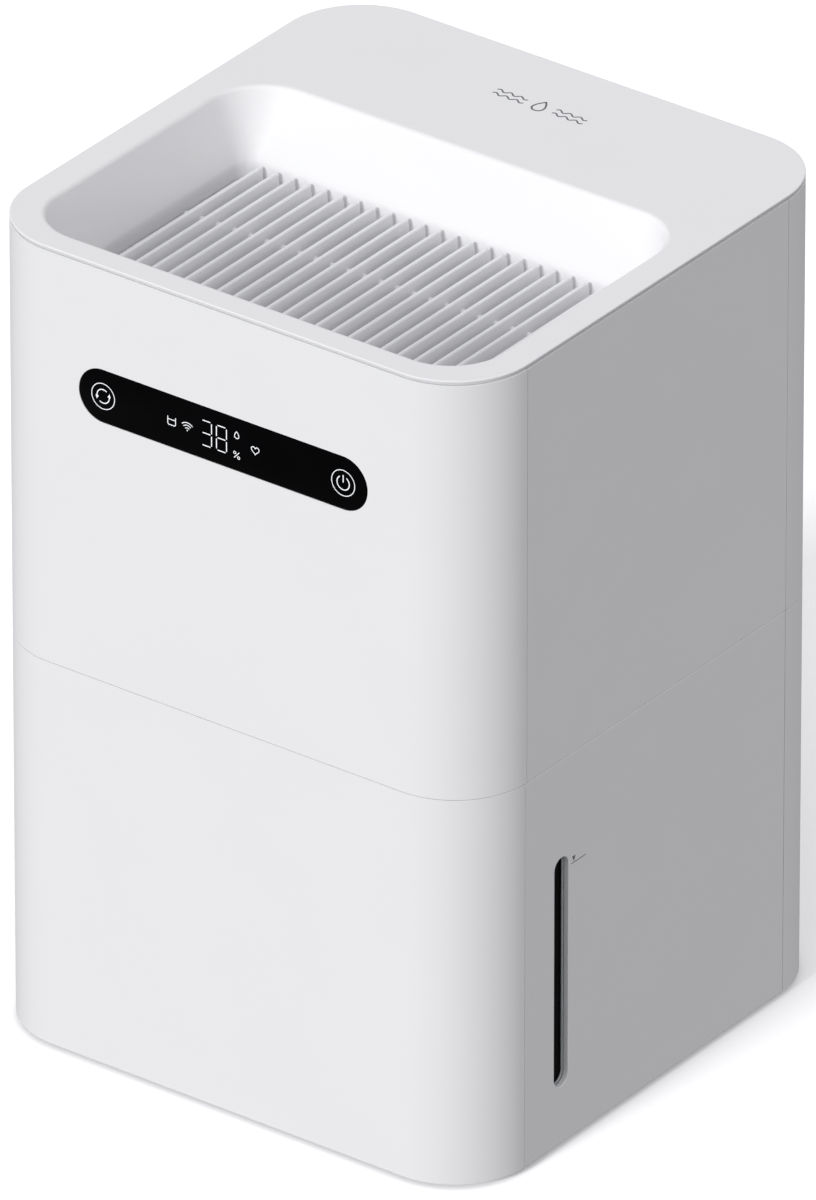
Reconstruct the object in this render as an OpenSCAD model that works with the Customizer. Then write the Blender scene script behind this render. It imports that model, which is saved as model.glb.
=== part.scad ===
// Free-standing evaporative room humidifier.
// A water tank with a wheel of evaporation discs stands below a lift-off upper body, which holds the
// pour-in basin, the outlet grille, the fan, the wheel's drive and the electronics.
// Frame: origin at the centre of the footprint on the floor, front face towards -Y, +Z up.

/* [Body] */
// Overall width, side to side
body_w = 244; // [234:1:293]
// Overall depth, front to back
body_d = 242; // [232:1:291]
// Overall height, feet included
body_h = 363; // [358:1:436]
// Radius of the four upright corners
corner_r = 35; // [28:1:42]
// Wall of the outer shells and panels
shell_t = 2.5; // [2:0.1:3]
// Height of the line between the tank and the upper body
split_z = 176.5; // [172:0.5:180]
// Width of that line
split_gap = 0.4; // [0.3:0.1:0.8]
// Width of the upright lines between the shells
panel_gap = 0.2; // [0.1:0.1:0.5]
// How far the shells stand above the floor
foot_h = 2.5; // [2:0.5:4]
// Radius of a rubber foot
foot_r = 9; // [6:0.5:12]

/* [Top cover] */
// Height of the cover's visible edge
lid_edge = 2; // [1.6:0.1:3]
// Rounding of the cover's outer edge
lid_round = 1.4; // [0.6:0.1:1.5]
// Width of the pour-in basin at the top
basin_w = 216.6; // [206:0.2:220]
// Length of the basin at the top, front to back
basin_d = 149.4; // [142:0.2:152]
// Rim between the front face and the basin
basin_rim = 12; // [10:0.5:16]
// Corner radius of the basin at the top
basin_r = 25; // [18:1:28]
// Depth from the deck to the top of the slats
basin_depth = 30; // [26:1:34]
// Lean of the side and front walls over that depth
basin_lean = 7.3; // [4:0.1:9]
// Lean of the rear wall over that depth
basin_lean_rear = 12.4; // [6:0.1:14]
// Corner radius of the basin at its foot
basin_foot_r = 8; // [6:1:12]
// Wall of the basin
basin_t = 2.2; // [1.8:0.1:2.6]

/* [Outlet grille] */
// Number of slats
slat_count = 24; // [20:1:24]
// Distance from slat to slat
slat_pitch = 8; // [7:0.1:8]
// Thickness of a slat at its round upper edge
slat_t = 1.6; // [1.4:0.1:2]
// Thickness of a slat at its foot
slat_foot_t = 2.4; // [2:0.1:3]
// Height of a slat
slat_h = 9; // [7:0.5:9]
// Distance of the cross rib from the rear ends of the slats
rib_from_rear = 42; // [36:1:52]
// How far the cross ribs lie below the tops of the slats
rib_drop = 3.7; // [3:0.1:5]

/* [Display] */
// Width of the display window
display_w = 140.7; // [120:0.1:150]
// Height of the display window
display_h = 23.4; // [20:0.1:26]
// Depth of its centre below the top
display_drop = 58.1; // [54:0.1:62]
// Distance between the two touch keys
key_spacing = 117.2; // [100:0.2:124]

/* [Level window] */
// Width of the slot in the right panel
slot_w = 9.4; // [8:0.1:12]
// Height of the slot's lower end
slot_z0 = 28.5; // [24:0.5:34]
// Height of the slot's upper end
slot_z1 = 132.2; // [120:0.1:150]
// Distance of the slot's centre from the front
slot_from_front = 58.1; // [54:0.1:70]
// Depth of the slot, from the panel's face to the window
slot_depth = 3.6; // [3.2:0.1:4.4]

/* [Tank] */
// Wall of the water reservoir
tub_t = 2.2; // [2:0.1:2.6]
// Gap between the reservoir and the shells
tub_clear = 0.4; // [0.3:0.1:0.6]
// Height of the reservoir's underside above the floor
tub_z = 10; // [10:0.5:14]
// Thickness of the reservoir's floor
tub_floor_t = 2.5; // [2:0.1:3]
// How far the reservoir's rim stands up inside the upper body
tub_lip = 3; // [2:0.5:4]

/* [Evaporation wheel] */
// Radius of a disc
disc_r = 88; // [73:1:88]
// Thickness of a disc
disc_t = 1; // [0.8:0.1:1.4]
// Distance from disc to disc
disc_pitch = 5.4; // [4.5:0.1:7]
// Space below the discs
disc_floor_gap = 31.5; // [28:0.5:34]
// Radius of the wheel's shaft
shaft_r = 5; // [4.5:0.1:6]
// Radius of the journals at its ends
journal_r = 4; // [3:0.1:4.2]
// Radial clearance of a journal in its bearing
bearing_fit = 0.05; // [0.02:0.01:0.1]
// Length of a bearing block
bearing_w = 12; // [10:0.5:14]
// Number of tie rods
rod_count = 6; // [3:1:6]
// Radius of a tie rod
rod_r = 2; // [1.5:0.1:2.5]
// Radius of the circle the tie rods stand on
rod_ring = 56; // [44:1:62]

/* [Wheel drive] */
// Gear module
gear_mod = 2; // [1.5:0.25:2]
// Teeth of the wheel's gear
gear_teeth = 60; // [50:1:60]
// Teeth of the drive pinion
pinion_teeth = 18; // [17:1:22]
// Width of the wheel's gear
gear_w = 7; // [6:0.5:9]
// Play between the meshing teeth
backlash = 0.3; // [0.2:0.05:0.5]
// Radius of the drive motor
drive_motor_r = 17.5; // [15:0.5:20]
// Length of the drive motor
drive_motor_l = 12.5; // [10:0.5:12.5]

/* [Fan] */
// Radius over the blades
fan_r = 62; // [54:1:64]
// Gap between the blade tips and the shroud
fan_gap = 3; // [2:0.5:4]
// Radius of the hub
hub_r = 26; // [24:1:30]
// Number of blades
blade_count = 7; // [5:1:9]
// Pitch of the blades
blade_angle = 32; // [25:1:38]
// Radius of the fan motor
fan_motor_r = 20; // [16:0.5:20.5]

/* [Air intake] */
// Width of the intake grille
intake_w = 160; // [130:1:166]
// Height of the intake grille
intake_h = 52; // [44:1:54]
// Height of its lower edge above the parting line
intake_rise = 13.5; // [12:0.5:15]
// Depth of the dust filter
filter_t = 5; // [4:0.5:5]

/* [Float] */
// Radius of the float
float_r = 11; // [9:0.5:12]
// Height of the float
float_h = 20; // [16:1:24]
// Radius of the float's guide post
post_r = 3; // [2.5:0.1:4]
// Travel of the float
float_travel = 85; // [70:1:90]

/* [Hidden] */
$fn = 96;
eps = 0.01;
hw = body_w / 2;
hd = body_d / 2;
// Gaps between neighbouring pieces
snug = 0.1;
slide_gap = 0.4;
fit_gap = 0.3;
// Upright seams: where the corners start; the tank's front seam sits a little further forward
seam_y = hd - corner_r;
tank_seam_shift = 1;
tank_top = split_z - split_gap / 2;
upper_z0 = split_z + split_gap / 2;
shell_top = body_h - lid_edge - split_gap;
lid_z0 = body_h - lid_edge;

// Reservoir
tub_in = shell_t + tub_clear;
tub_floor = tub_z + tub_floor_t;
tub_top = split_z + tub_lip;
tub_x = hw - tub_in - tub_t;
base_z = 4;
base_t = 3;
boss_r = 8;
boss_x = hw - 46;
boss_y = hd - 46;
screw_r = 1.5;
screw_head_r = 3.2;
screw_head_h = 2;

// Level window
slot_y = -hd + slot_from_front;
seal_t = 1;
window_t = 2;
flange_w = 3;

// Evaporation wheel
wheel_z = tub_floor + disc_floor_gap + disc_r;
shoulder_x = tub_x - bearing_w - 0.5;
gear_x = -shoulder_x + 11.5;
plate_t = 2.5;
hub_len = 6;
left_plate_x = gear_x + gear_w + hub_len;
right_plate_x = shoulder_x - 18;
disc_x0 = left_plate_x + plate_t + disc_pitch - disc_t;
disc_count = floor((right_plate_x - disc_x0 - disc_pitch) / disc_pitch) + 1;
plate_r = disc_r * 0.8;
spacer_r = 9;
bearing_y = 14;
bearing_cap = 12;

// Wheel drive
gear_pr = gear_mod * gear_teeth / 2;
pinion_pr = gear_mod * pinion_teeth / 2;
pinion_z = wheel_z + gear_pr + pinion_pr;
pinion_side = 0.5;
pinion_shaft_r = 2.5;
cup_t = 2.2;
cup_clear = 0.5;
cup_r = drive_motor_r + cup_clear + cup_t;

// Upper body: seal, frame, fan deck
seal_h = 1.5;
seal_z = tub_top + snug;
flange_z = seal_z + seal_h;
flange_t = 2;
frame_in = 8;
frame_t = 2.2;
deck_in = shell_t + snug;
deck_over_wheel = 32;
deck_over_intake = 2;
// The deck clears the taller of the wheel and the intake behind it.
deck_z = max(wheel_z + disc_r + deck_over_wheel, split_z + intake_rise + intake_h + deck_over_intake);
deck_t = 2.5;
deck_top = deck_z + deck_t;
frame_x = hw - frame_in - frame_t;
frame_boss_r = 6;
frame_boss_x = hw - 21;
frame_boss_y = hd - 21;
cup_x0 = -frame_x;
cup_x1 = gear_x - 3.5;

// Basin and grille
basin_x = basin_w / 2;
basin_y0 = -hd + basin_rim;
basin_y1 = basin_y0 + basin_d;
slat_top = body_h - basin_depth;
foot_x = basin_x - basin_lean;
foot_y0 = basin_y0 + basin_lean;
foot_y1 = basin_y1 - basin_lean_rear;
ledge_w = 5;
ledge_t = 2;
grille_z0 = slat_top - slat_h - 2;
ledge_z0 = grille_z0 - ledge_t;
grille_t = 2.4;
grille_frame_h = 4;
grille_gap = 0.5;
slat_end_gap = 1.5;
rib_t = 2.6;
rear_post_x = hw - 30;
rear_post_y = hd - 12;
rear_post_r = 5;

// Fan
fan_y = (foot_y0 + foot_y1) / 2 + 3;
shroud_r = fan_r + fan_gap;
shroud_t = 2.5;
tray_t = 2.5;
tray_z = ledge_z0 - 6;
bracket_z = deck_top + 8;
bracket_t = 4;
arm_w = 8;
fan_motor_z = bracket_z + bracket_t;
fan_motor_h = 20;
hub_t = 3;
hub_z0 = fan_motor_z + 3;
hub_z1 = fan_motor_z + fan_motor_h + 3 + hub_t;
blade_t = 2;
blade_chord = 30;
rotor_shaft_r = 3;
collar_h = 3;
chute_w = 14;
chute_x = foot_x - chute_w - 3;
chute_y0 = foot_y0 + 22;
chute_y1 = foot_y1 - 18;
chute_t = 2;

// Electronics
box_t = 2;
box_x = 74;
box_y0 = fan_y + shroud_r + shroud_t + 12;
box_y1 = hd - 13;
box_z1 = deck_top + 70;
board_t = 1.6;
inlet_x = 50;
inlet_z = deck_top + 32;
inlet_w = 24;
inlet_h = 16;
inlet_l = hd - 1 - (box_y1 - box_t) + 2;
pin_gap = 8.6;
pin_r = 1.2;
display_z = body_h - display_drop;
display_gap = 0.2;
display_flange = 3;
lens_recess = 0.1;
lens_flange_t = 1.4;
panel_board_y = -hd + shell_t + lens_flange_t + 5;
panel_board_h = 26;

// Air intake
intake_z0 = split_z + intake_rise;
intake_z = intake_z0 + intake_h / 2;
intake_r = 6;
intake_bars = 22;
bar_gap = 3.6;
filter_y1 = hd - shell_t - snug;
filter_y0 = filter_y1 - filter_t;
filter_rim = 3;
sensor_in = 7;
sensor_x = -hw + corner_r - sensor_in;

// Float
float_x = hw - 52;
float_y = hd - 20;
float_z = tub_floor + 2.5;
post_top = float_z + float_h + float_travel + 1;
magnet_r = 7;
magnet_h = 3;
probe_r = 3.5;
probe_z = post_top + 8;

white = "#E6E6E8";
grey = "#9FA0A4";
black = "#0B0B0F";
rubber = "#2B2B2E";
steel = "#B9BCC0";
board_green = "#1E5A3A";

// ---- shared shapes ----

// Rectangle with round corners between two corners of its box
module rounded_rect(x0, x1, y0, y1, r) {
    translate([x0 + r, y0]) square([x1 - x0 - 2 * r, y1 - y0]);
    translate([x0, y0 + r]) square([x1 - x0, y1 - y0 - 2 * r]);
    for (x = [x0 + r, x1 - r], y = [y0 + r, y1 - r]) translate([x, y]) circle(r);
}

// The body's plan, drawn inwards by inset
module outline(inset = 0) {
    rounded_rect(-hw + inset, hw - inset, -hd + inset, hd - inset, corner_r - inset);
}

// Upright ring that follows the body's plan
module ring(inset, t, z0, z1) {
    translate([0, 0, z0]) linear_extrude(z1 - z0) difference() {
        outline(inset);
        outline(inset + t);
    }
}

// Box given by its two corners
module block(a, b) {
    translate(a) cube(b - a);
}

// Slot shape with full round ends, long side along x
module stadium(w, h) {
    square([w - h, h], center = true);
    for (s = [-1, 1]) translate([s * (w - h) / 2, 0]) circle(h / 2);
}

// Turns a flat drawing to face +X: its x becomes Y, its y becomes Z, and it grows along X
module facing_x(x, l) {
    translate([x, 0, 0]) rotate([90, 0, 90]) linear_extrude(l) children();
}

// Turns a flat drawing upright: its y becomes Z, and it grows along +Y from y
module facing_y(y, l) {
    translate([0, y + l, 0]) rotate([90, 0, 0]) linear_extrude(l) children();
}

module rod_x(r, x0, x1, y, z) {
    translate([x0, y, z]) rotate([0, 90, 0]) cylinder(r = r, h = x1 - x0);
}

module tube_z(r_out, r_in, z0, z1) {
    difference() {
        translate([0, 0, z0]) cylinder(r = r_out, h = z1 - z0);
        translate([0, 0, z0 - 1]) cylinder(r = r_in, h = z1 - z0 + 2);
    }
}

// One of the shells: the part of the wall ring between two values of y
module shell_between(y0, y1, z0, z1) {
    intersection() {
        ring(0, shell_t, z0, z1);
        block([-hw - 1, y0, z0 - 1], [hw + 1, y1, z1 + 1]);
    }
}

// A side panel: the part of the wall ring between the seams, on one side
module side_panel(side, y0, y1, z0, z1) {
    x0 = side > 0 ? 0 : -hw - 1;
    intersection() {
        shell_between(y0, y1, z0, z1);
        block([x0, y0 - 1, z0 - 1], [x0 + hw + 1, y1 + 1, z1 + 1]);
    }
}

// ---- tank ----

module feet() {
    color(rubber) for (sx = [-1, 1], sy = [-1, 1])
        translate([sx * boss_x, sy * boss_y, 0]) difference() {
            cylinder(r = foot_r, h = base_z);
            translate([0, 0, -1]) cylinder(r = screw_head_r + 1, h = base_z + 2);
        }
}

module base_plate() {
    color(grey) difference() {
        translate([0, 0, base_z]) linear_extrude(base_t) outline(shell_t + snug);
        for (sx = [-1, 1], sy = [-1, 1])
            translate([sx * boss_x, sy * boss_y, base_z - 1]) cylinder(r = screw_r + snug, h = base_t + 2);
    }
}

module base_screws() {
    color(steel) for (sx = [-1, 1], sy = [-1, 1]) translate([sx * boss_x, sy * boss_y, 0]) {
        translate([0, 0, base_z - screw_head_h]) cylinder(r = screw_head_r, h = screw_head_h);
        translate([0, 0, base_z - eps]) cylinder(r = screw_r, h = base_t + 5);
    }
}

module tank_front_shell() {
    color(white) shell_between(-hd - 1, -seam_y - tank_seam_shift - panel_gap, foot_h, tank_top);
}

module tank_rear_shell() {
    color(white) shell_between(seam_y + panel_gap, hd + 1, foot_h, tank_top);
}

module tank_left_panel() {
    color(white) side_panel(-1, -seam_y - tank_seam_shift, seam_y, foot_h, tank_top);
}

// Upright slot outline of the level window, grown by extra on every side
module slot_outline(extra = 0) {
    translate([slot_y, (slot_z0 + slot_z1) / 2]) rotate(90)
        stadium(slot_z1 - slot_z0 + 2 * extra, slot_w + 2 * extra);
}

module tank_right_panel() {
    color(white) difference() {
        side_panel(1, -seam_y - tank_seam_shift, seam_y, foot_h, tank_top);
        facing_x(hw - shell_t - 1, shell_t + 2) slot_outline();
    }
}

module tank_reservoir() {
    color("#D9DCDF") difference() {
        union() {
            translate([0, 0, tub_z]) linear_extrude(tub_top - tub_z) outline(tub_in);
            for (sx = [-1, 1], sy = [-1, 1])
                translate([sx * boss_x, sy * boss_y, base_z + base_t])
                    cylinder(r = boss_r, h = tub_z - base_z - base_t + eps);
        }
        translate([0, 0, tub_floor]) linear_extrude(tub_top) outline(tub_in + tub_t);
        facing_x(tub_x - 1, tub_t + 2) slot_outline();
        for (sx = [-1, 1], sy = [-1, 1])
            translate([sx * boss_x, sy * boss_y, base_z]) cylinder(r = screw_r + snug, h = base_t + 5.5);
    }
}

module level_window() {
    color(black) {
        facing_x(tub_x - seal_t - window_t, window_t) slot_outline(flange_w);
        facing_x(tub_x - seal_t - eps, hw - slot_depth - tub_x + seal_t + eps) slot_outline(-snug);
    }
}

module window_seal() {
    color(rubber) facing_x(tub_x - seal_t, seal_t) difference() {
        slot_outline(flange_w - 0.5);
        slot_outline();
    }
}

// Pillar on the reservoir's floor with an open-topped seat for one journal
module bearing(side) {
    x0 = side > 0 ? tub_x - bearing_w : -tub_x;
    color("#C9CBCE") difference() {
        block([x0, -bearing_y, tub_floor], [x0 + bearing_w, bearing_y, wheel_z + bearing_cap]);
        rod_x(journal_r + bearing_fit, x0 - 1, x0 + bearing_w + 1, 0, wheel_z);
        block([x0 - 1, -journal_r - bearing_fit, wheel_z],
              [x0 + bearing_w + 1, journal_r + bearing_fit, wheel_z + bearing_cap + 1]);
    }
}

module left_bearing() { bearing(-1); }

module right_bearing() { bearing(1); }

module float_guide() {
    color("#C9CBCE") translate([float_x, float_y, 0]) {
        translate([0, 0, tub_floor]) cylinder(r = post_r + 4, h = 2);
        translate([0, 0, tub_floor + 2 - eps]) cylinder(r = post_r, h = post_top - tub_floor - 2 + eps);
        translate([0, 0, post_top - eps]) cylinder(r = post_r + 2.5, h = 3);
    }
}

module float() {
    color("#F2F2F2") translate([float_x, float_y, 0]) difference() {
        tube_z(float_r, post_r + slide_gap, float_z, float_z + float_h);
        translate([0, 0, float_z + float_h - magnet_h - snug]) cylinder(r = magnet_r + snug, h = magnet_h + 1);
    }
}

module float_magnet() {
    color("#3A3A3E") translate([float_x, float_y, 0])
        tube_z(magnet_r, post_r + slide_gap + 0.2, float_z + float_h - magnet_h - snug, float_z + float_h - snug);
}

// ---- evaporation wheel ----

module wheel_shaft() {
    color(steel) {
        rod_x(shaft_r, -shoulder_x, shoulder_x, 0, wheel_z);
        rod_x(journal_r, -tub_x + 2, -shoulder_x + eps, 0, wheel_z);
        rod_x(journal_r, shoulder_x - eps, tub_x - 2, 0, wheel_z);
    }
}

// Places its child once for each tie rod, in the wheel's own plane
module on_rod_ring() {
    for (i = [0 : rod_count - 1]) rotate(i * 360 / rod_count) translate([rod_ring, 0]) children();
}

// Round plate of the wheel at height wheel_z, bored for the shaft and the tie rods
module wheel_disc(r, x, t) {
    translate([x, 0, wheel_z]) rotate([90, 0, 90]) linear_extrude(t) difference() {
        circle(r);
        circle(shaft_r + snug);
        on_rod_ring() circle(rod_r + snug);
        children();
    }
}

module evaporation_discs() {
    color("#5E6670") for (i = [0 : disc_count - 1]) wheel_disc(disc_r, disc_x0 + i * disc_pitch, disc_t);
}

module disc_spacers() {
    color("#7A828C") for (i = [0 : disc_count - 2])
        translate([disc_x0 + disc_t + i * disc_pitch, 0, wheel_z]) rotate([0, 90, 0])
            tube_z(spacer_r, shaft_r + snug, 0, disc_pitch - disc_t);
}

// Two spoked end plates that clamp the stack of discs
module wheel_end_plates() {
    lightening = (plate_r - rod_ring) > 0 ? 12 : 8;
    color("#7A828C") for (x = [left_plate_x, right_plate_x])
        wheel_disc(plate_r, x, plate_t)
            for (i = [0 : 5]) rotate(30 + i * 60) translate([plate_r * 0.48, 0]) circle(lightening);
}

module tie_rods() {
    color(steel) for (i = [0 : rod_count - 1]) {
        a = i * 360 / rod_count;
        y = rod_ring * cos(a);
        z = wheel_z + rod_ring * sin(a);
        rod_x(rod_r, left_plate_x - 1, right_plate_x + plate_t + 1, y, z);
        rod_x(rod_r + 2, left_plate_x - 2, left_plate_x, y, z);
        rod_x(rod_r + 2, right_plate_x + plate_t, right_plate_x + plate_t + 2, y, z);
    }
}

// Involute spur gear. An involute point at radius r stands at the angle tan(a) - a past the point
// where the flank leaves the base circle, with cos(a) = base radius / r.
pressure_angle = 20;
function involute(a) = tan(a) - a * PI / 180;
function flank_angle(r, rb, half) =
    half + (involute(pressure_angle) - involute(acos(min(1, rb / r)))) * 180 / PI;

module spur_gear(teeth, first_angle) {
    pr = gear_mod * teeth / 2;
    rb = pr * cos(pressure_angle);
    root = pr - 1.25 * gear_mod;
    tip = pr + gear_mod * 0.95;
    start = max(root, rb);
    half = 90 / teeth - backlash / 4 / pr * 180 / PI;
    steps = 5;
    radii = [for (i = [0 : steps]) start + (tip - start) * i / steps];
    right = [for (r = radii) [r, -flank_angle(r, rb, half)]];
    left = [for (i = [steps : -1 : 0]) [radii[i], flank_angle(radii[i], rb, half)]];
    foot = flank_angle(start, rb, half);
    polygon([for (k = [0 : teeth - 1])
        for (p = concat([[root, -foot]], right, left, [[root, foot]]))
            let (a = first_angle + k * 360 / teeth + p[1]) [p[0] * cos(a), p[0] * sin(a)]]);
}

module wheel_gear() {
    color("#DADCDF") translate([0, 0, wheel_z]) {
        facing_x(gear_x, gear_w) difference() {
            spur_gear(gear_teeth, 90);
            circle(shaft_r + snug);
            for (i = [0 : 5]) rotate(i * 60) translate([gear_pr * 0.58, 0]) circle(gear_pr * 0.2);
        }
        facing_x(gear_x + gear_w - eps, hub_len + eps) difference() {
            circle(spacer_r + 4);
            circle(shaft_r + snug);
        }
    }
}

// ---- wheel drive, in the upper body ----

module motor_cup() {
    color(grey) translate([0, 0, pinion_z]) {
        facing_x(cup_x0, cup_x1 - cup_x0) difference() {
            circle(cup_r);
            circle(cup_r - cup_t);
        }
        facing_x(cup_x1 - cup_t, cup_t) difference() {
            circle(cup_r - cup_t + eps);
            circle(pinion_shaft_r + 3);
        }
    }
}

module drive_motor() {
    x1 = cup_x1 - cup_t - snug;
    color(steel) translate([0, 0, pinion_z]) difference() {
        rod_x(drive_motor_r, x1 - drive_motor_l, x1, 0, 0);
        rod_x(pinion_shaft_r + bearing_fit, x1 - 8, x1 + 1, 0, 0);
    }
}

module shaft_seal() {
    color(rubber) translate([0, 0, pinion_z]) facing_x(cup_x1 - cup_t, cup_t) difference() {
        circle(pinion_shaft_r + 3 - 0.05);
        circle(pinion_shaft_r + bearing_fit);
    }
}

module pinion_shaft() {
    color(steel) translate([0, 0, pinion_z]) {
        rod_x(pinion_shaft_r, cup_x1 - cup_t - 7.5, gear_x + gear_w + 2, 0, 0);
        rod_x(pinion_shaft_r + 1.2, gear_x + gear_w + 1, gear_x + gear_w + 2, 0, 0);
    }
}

module drive_pinion() {
    color("#DADCDF") translate([0, 0, pinion_z])
        facing_x(gear_x - pinion_side, gear_w + 2 * pinion_side) difference() {
            spur_gear(pinion_teeth, -90 + 180 / pinion_teeth);
            circle(pinion_shaft_r + 0.05);
        }
}

// ---- upper body ----

module front_cover() {
    color(white) difference() {
        shell_between(-hd - 1, -seam_y - panel_gap, upper_z0, shell_top);
        facing_y(-hd - 1, shell_t + 2) translate([0, display_z])
            stadium(display_w + 2 * display_gap, display_h + 2 * display_gap);
    }
}

module left_side_panel() {
    color(white) side_panel(-1, -seam_y, seam_y, upper_z0, shell_top);
}

module right_side_panel() {
    color(white) side_panel(1, -seam_y, seam_y, upper_z0, shell_top);
}

// Plan of the intake grille, grown by extra on every side
module intake_outline(extra = 0) {
    rounded_rect(-intake_w / 2 - extra, intake_w / 2 + extra, intake_z0 - extra,
                 intake_z0 + intake_h + extra, intake_r + extra);
}

module rear_cover() {
    color(white) difference() {
        shell_between(seam_y + panel_gap, hd + 1, upper_z0, shell_top);
        facing_y(hd - shell_t - 1, shell_t + 2) intake_outline(fit_gap);
        block([inlet_x - inlet_w / 2 - snug, hd - shell_t - 1, inlet_z - inlet_h / 2 - snug],
              [inlet_x + inlet_w / 2 + snug, hd + 1, inlet_z + inlet_h / 2 + snug]);
    }
}

// Thin slice of the basin's shape at height z, grown by extra
module basin_slice(lean, z, extra) {
    k = lean / basin_lean;
    r = lean > 0 ? basin_foot_r : basin_r;
    translate([0, 0, z]) linear_extrude(eps)
        rounded_rect(-basin_x + lean - extra, basin_x - lean + extra, basin_y0 + lean - extra,
                     basin_y1 - k * basin_lean_rear + extra, r + extra, $fn = 48);
}

// Leaning walls down to the slats, upright walls below them
module basin_shape(extra, z0, z1) {
    hull() {
        basin_slice(0, z1 - eps, extra);
        basin_slice(basin_lean, slat_top, extra);
    }
    translate([0, 0, z0]) linear_extrude(slat_top - z0 + 2 * eps)
        rounded_rect(-foot_x - extra, foot_x + extra, foot_y0 - extra, foot_y1 + extra,
                     basin_foot_r + extra, $fn = 48);
}

module top_cover() {
    steps = 4;
    color("#E2E2E4") difference() {
        union() {
            hull() {
                translate([0, 0, lid_z0]) linear_extrude(lid_edge - lid_round) outline($fn = 64);
                for (i = [1 : steps]) {
                    a = i * 90 / steps;
                    translate([0, 0, lid_z0 + lid_edge - lid_round]) linear_extrude(lid_round * sin(a))
                        outline(lid_round * (1 - cos(a)), $fn = 64);
                }
            }
            ring(shell_t + snug, 2, lid_z0 - 9, lid_z0 + eps);
            basin_shape(basin_t, ledge_z0, body_h - lid_round);
        }
        basin_shape(0, grille_z0, body_h + 2 * eps);
        translate([0, 0, ledge_z0 - 1]) linear_extrude(ledge_t + 3)
            rounded_rect(-foot_x + ledge_w, foot_x - ledge_w, foot_y0 + ledge_w, foot_y1 - ledge_w, 3);
    }
}

module body_seal() {
    color(rubber) ring(tub_in + 0.1, tub_t, seal_z, seal_z + seal_h);
}

module inner_frame() {
    color("#CFD1D4") difference() {
        union() {
            ring(shell_t + snug, frame_in + frame_t - shell_t, flange_z, flange_z + flange_t);
            ring(frame_in, frame_t, flange_z, deck_z);
            intersection() {
                translate([0, 0, flange_z]) linear_extrude(deck_z - flange_z) outline(frame_in + 0.5);
                for (sx = [-1, 1], sy = [-1, 1])
                    translate([sx * frame_boss_x, sy * frame_boss_y, flange_z])
                        cylinder(r = frame_boss_r, h = deck_z - flange_z);
            }
        }
        for (sx = [-1, 1], sy = [-1, 1])
            translate([sx * frame_boss_x, sy * frame_boss_y, deck_z - 10])
                cylinder(r = screw_r + snug, h = 11);
        block([-intake_w / 2 + 5, 0, intake_z0 + 3], [intake_w / 2 - 5, hd, intake_z0 + intake_h - 3]);
    }
}

module fan_deck() {
    color("#CFD1D4") difference() {
        union() {
            translate([0, 0, deck_z]) linear_extrude(deck_t) outline(deck_in);
            for (s = [-1, 1]) translate([s * rear_post_x, rear_post_y, deck_top - eps])
                cylinder(r = rear_post_r, h = lid_z0 - deck_top + eps);
        }
        translate([0, fan_y, deck_z - 1]) cylinder(r = shroud_r, h = deck_t + 2);
        for (s = [-1, 1])
            block([s * (chute_x + chute_w / 2) - chute_w / 2, chute_y0, deck_z - 1],
                  [s * (chute_x + chute_w / 2) + chute_w / 2, chute_y1, deck_top + 1]);
        for (sx = [-1, 1], sy = [-1, 1])
            translate([sx * frame_boss_x, sy * frame_boss_y, deck_z - 1])
                cylinder(r = screw_r + snug, h = deck_t + 2);
    }
}

module deck_screws() {
    color(steel) for (sx = [-1, 1], sy = [-1, 1]) translate([sx * frame_boss_x, sy * frame_boss_y, 0]) {
        translate([0, 0, deck_top]) cylinder(r = screw_head_r, h = screw_head_h);
        translate([0, 0, deck_z - 8]) cylinder(r = screw_r, h = 8 + deck_t + eps);
    }
}

module fan_shroud() {
    color(grey) translate([0, fan_y, 0]) {
        tube_z(shroud_r + shroud_t, shroud_r, deck_top, tray_z);
        tube_z(shroud_r + shroud_t + 6, shroud_r + 1, deck_top, deck_top + 2);
    }
}

// Four arms that carry the fan motor in the middle of the shroud
module motor_bracket() {
    color(grey) translate([0, fan_y, 0]) difference() {
        intersection() {
            translate([0, 0, bracket_z]) cylinder(r = shroud_r - 0.05, h = bracket_t);
            union() {
                translate([0, 0, bracket_z]) cylinder(r = fan_motor_r + 2, h = bracket_t);
                for (a = [0, 90]) rotate(a + 45)
                    block([-shroud_r, -arm_w / 2, bracket_z], [shroud_r, arm_w / 2, bracket_z + bracket_t]);
            }
        }
        translate([0, 0, bracket_z - 1]) cylinder(r = rotor_shaft_r + 2, h = bracket_t + 2);
    }
}

module fan_motor() {
    color("#3A3D42") translate([0, fan_y, 0])
        tube_z(fan_motor_r, rotor_shaft_r + bearing_fit, fan_motor_z, fan_motor_z + fan_motor_h);
}

module fan_shaft() {
    color(steel) translate([0, fan_y, fan_motor_z - 2]) cylinder(r = rotor_shaft_r, h = hub_z1 + 2 - fan_motor_z + 2);
}

module impeller() {
    mid = (hub_z0 + hub_z1) / 2;
    color("#4A4D52") translate([0, fan_y, 0]) {
        tube_z(hub_r, hub_r - hub_t, hub_z0, hub_z1 - hub_t + eps);
        tube_z(hub_r, rotor_shaft_r + 0.05, hub_z1 - hub_t, hub_z1);
        intersection() {
            tube_z(fan_r, hub_r - 0.5, hub_z0 - 6, hub_z1 + 6);
            for (i = [0 : blade_count - 1]) rotate(i * 360 / blade_count)
                translate([(fan_r + hub_r) / 2, 0, mid]) rotate([blade_angle, 0, 0])
                    cube([fan_r - hub_r + 8, blade_chord, blade_t], center = true);
        }
    }
}

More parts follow.
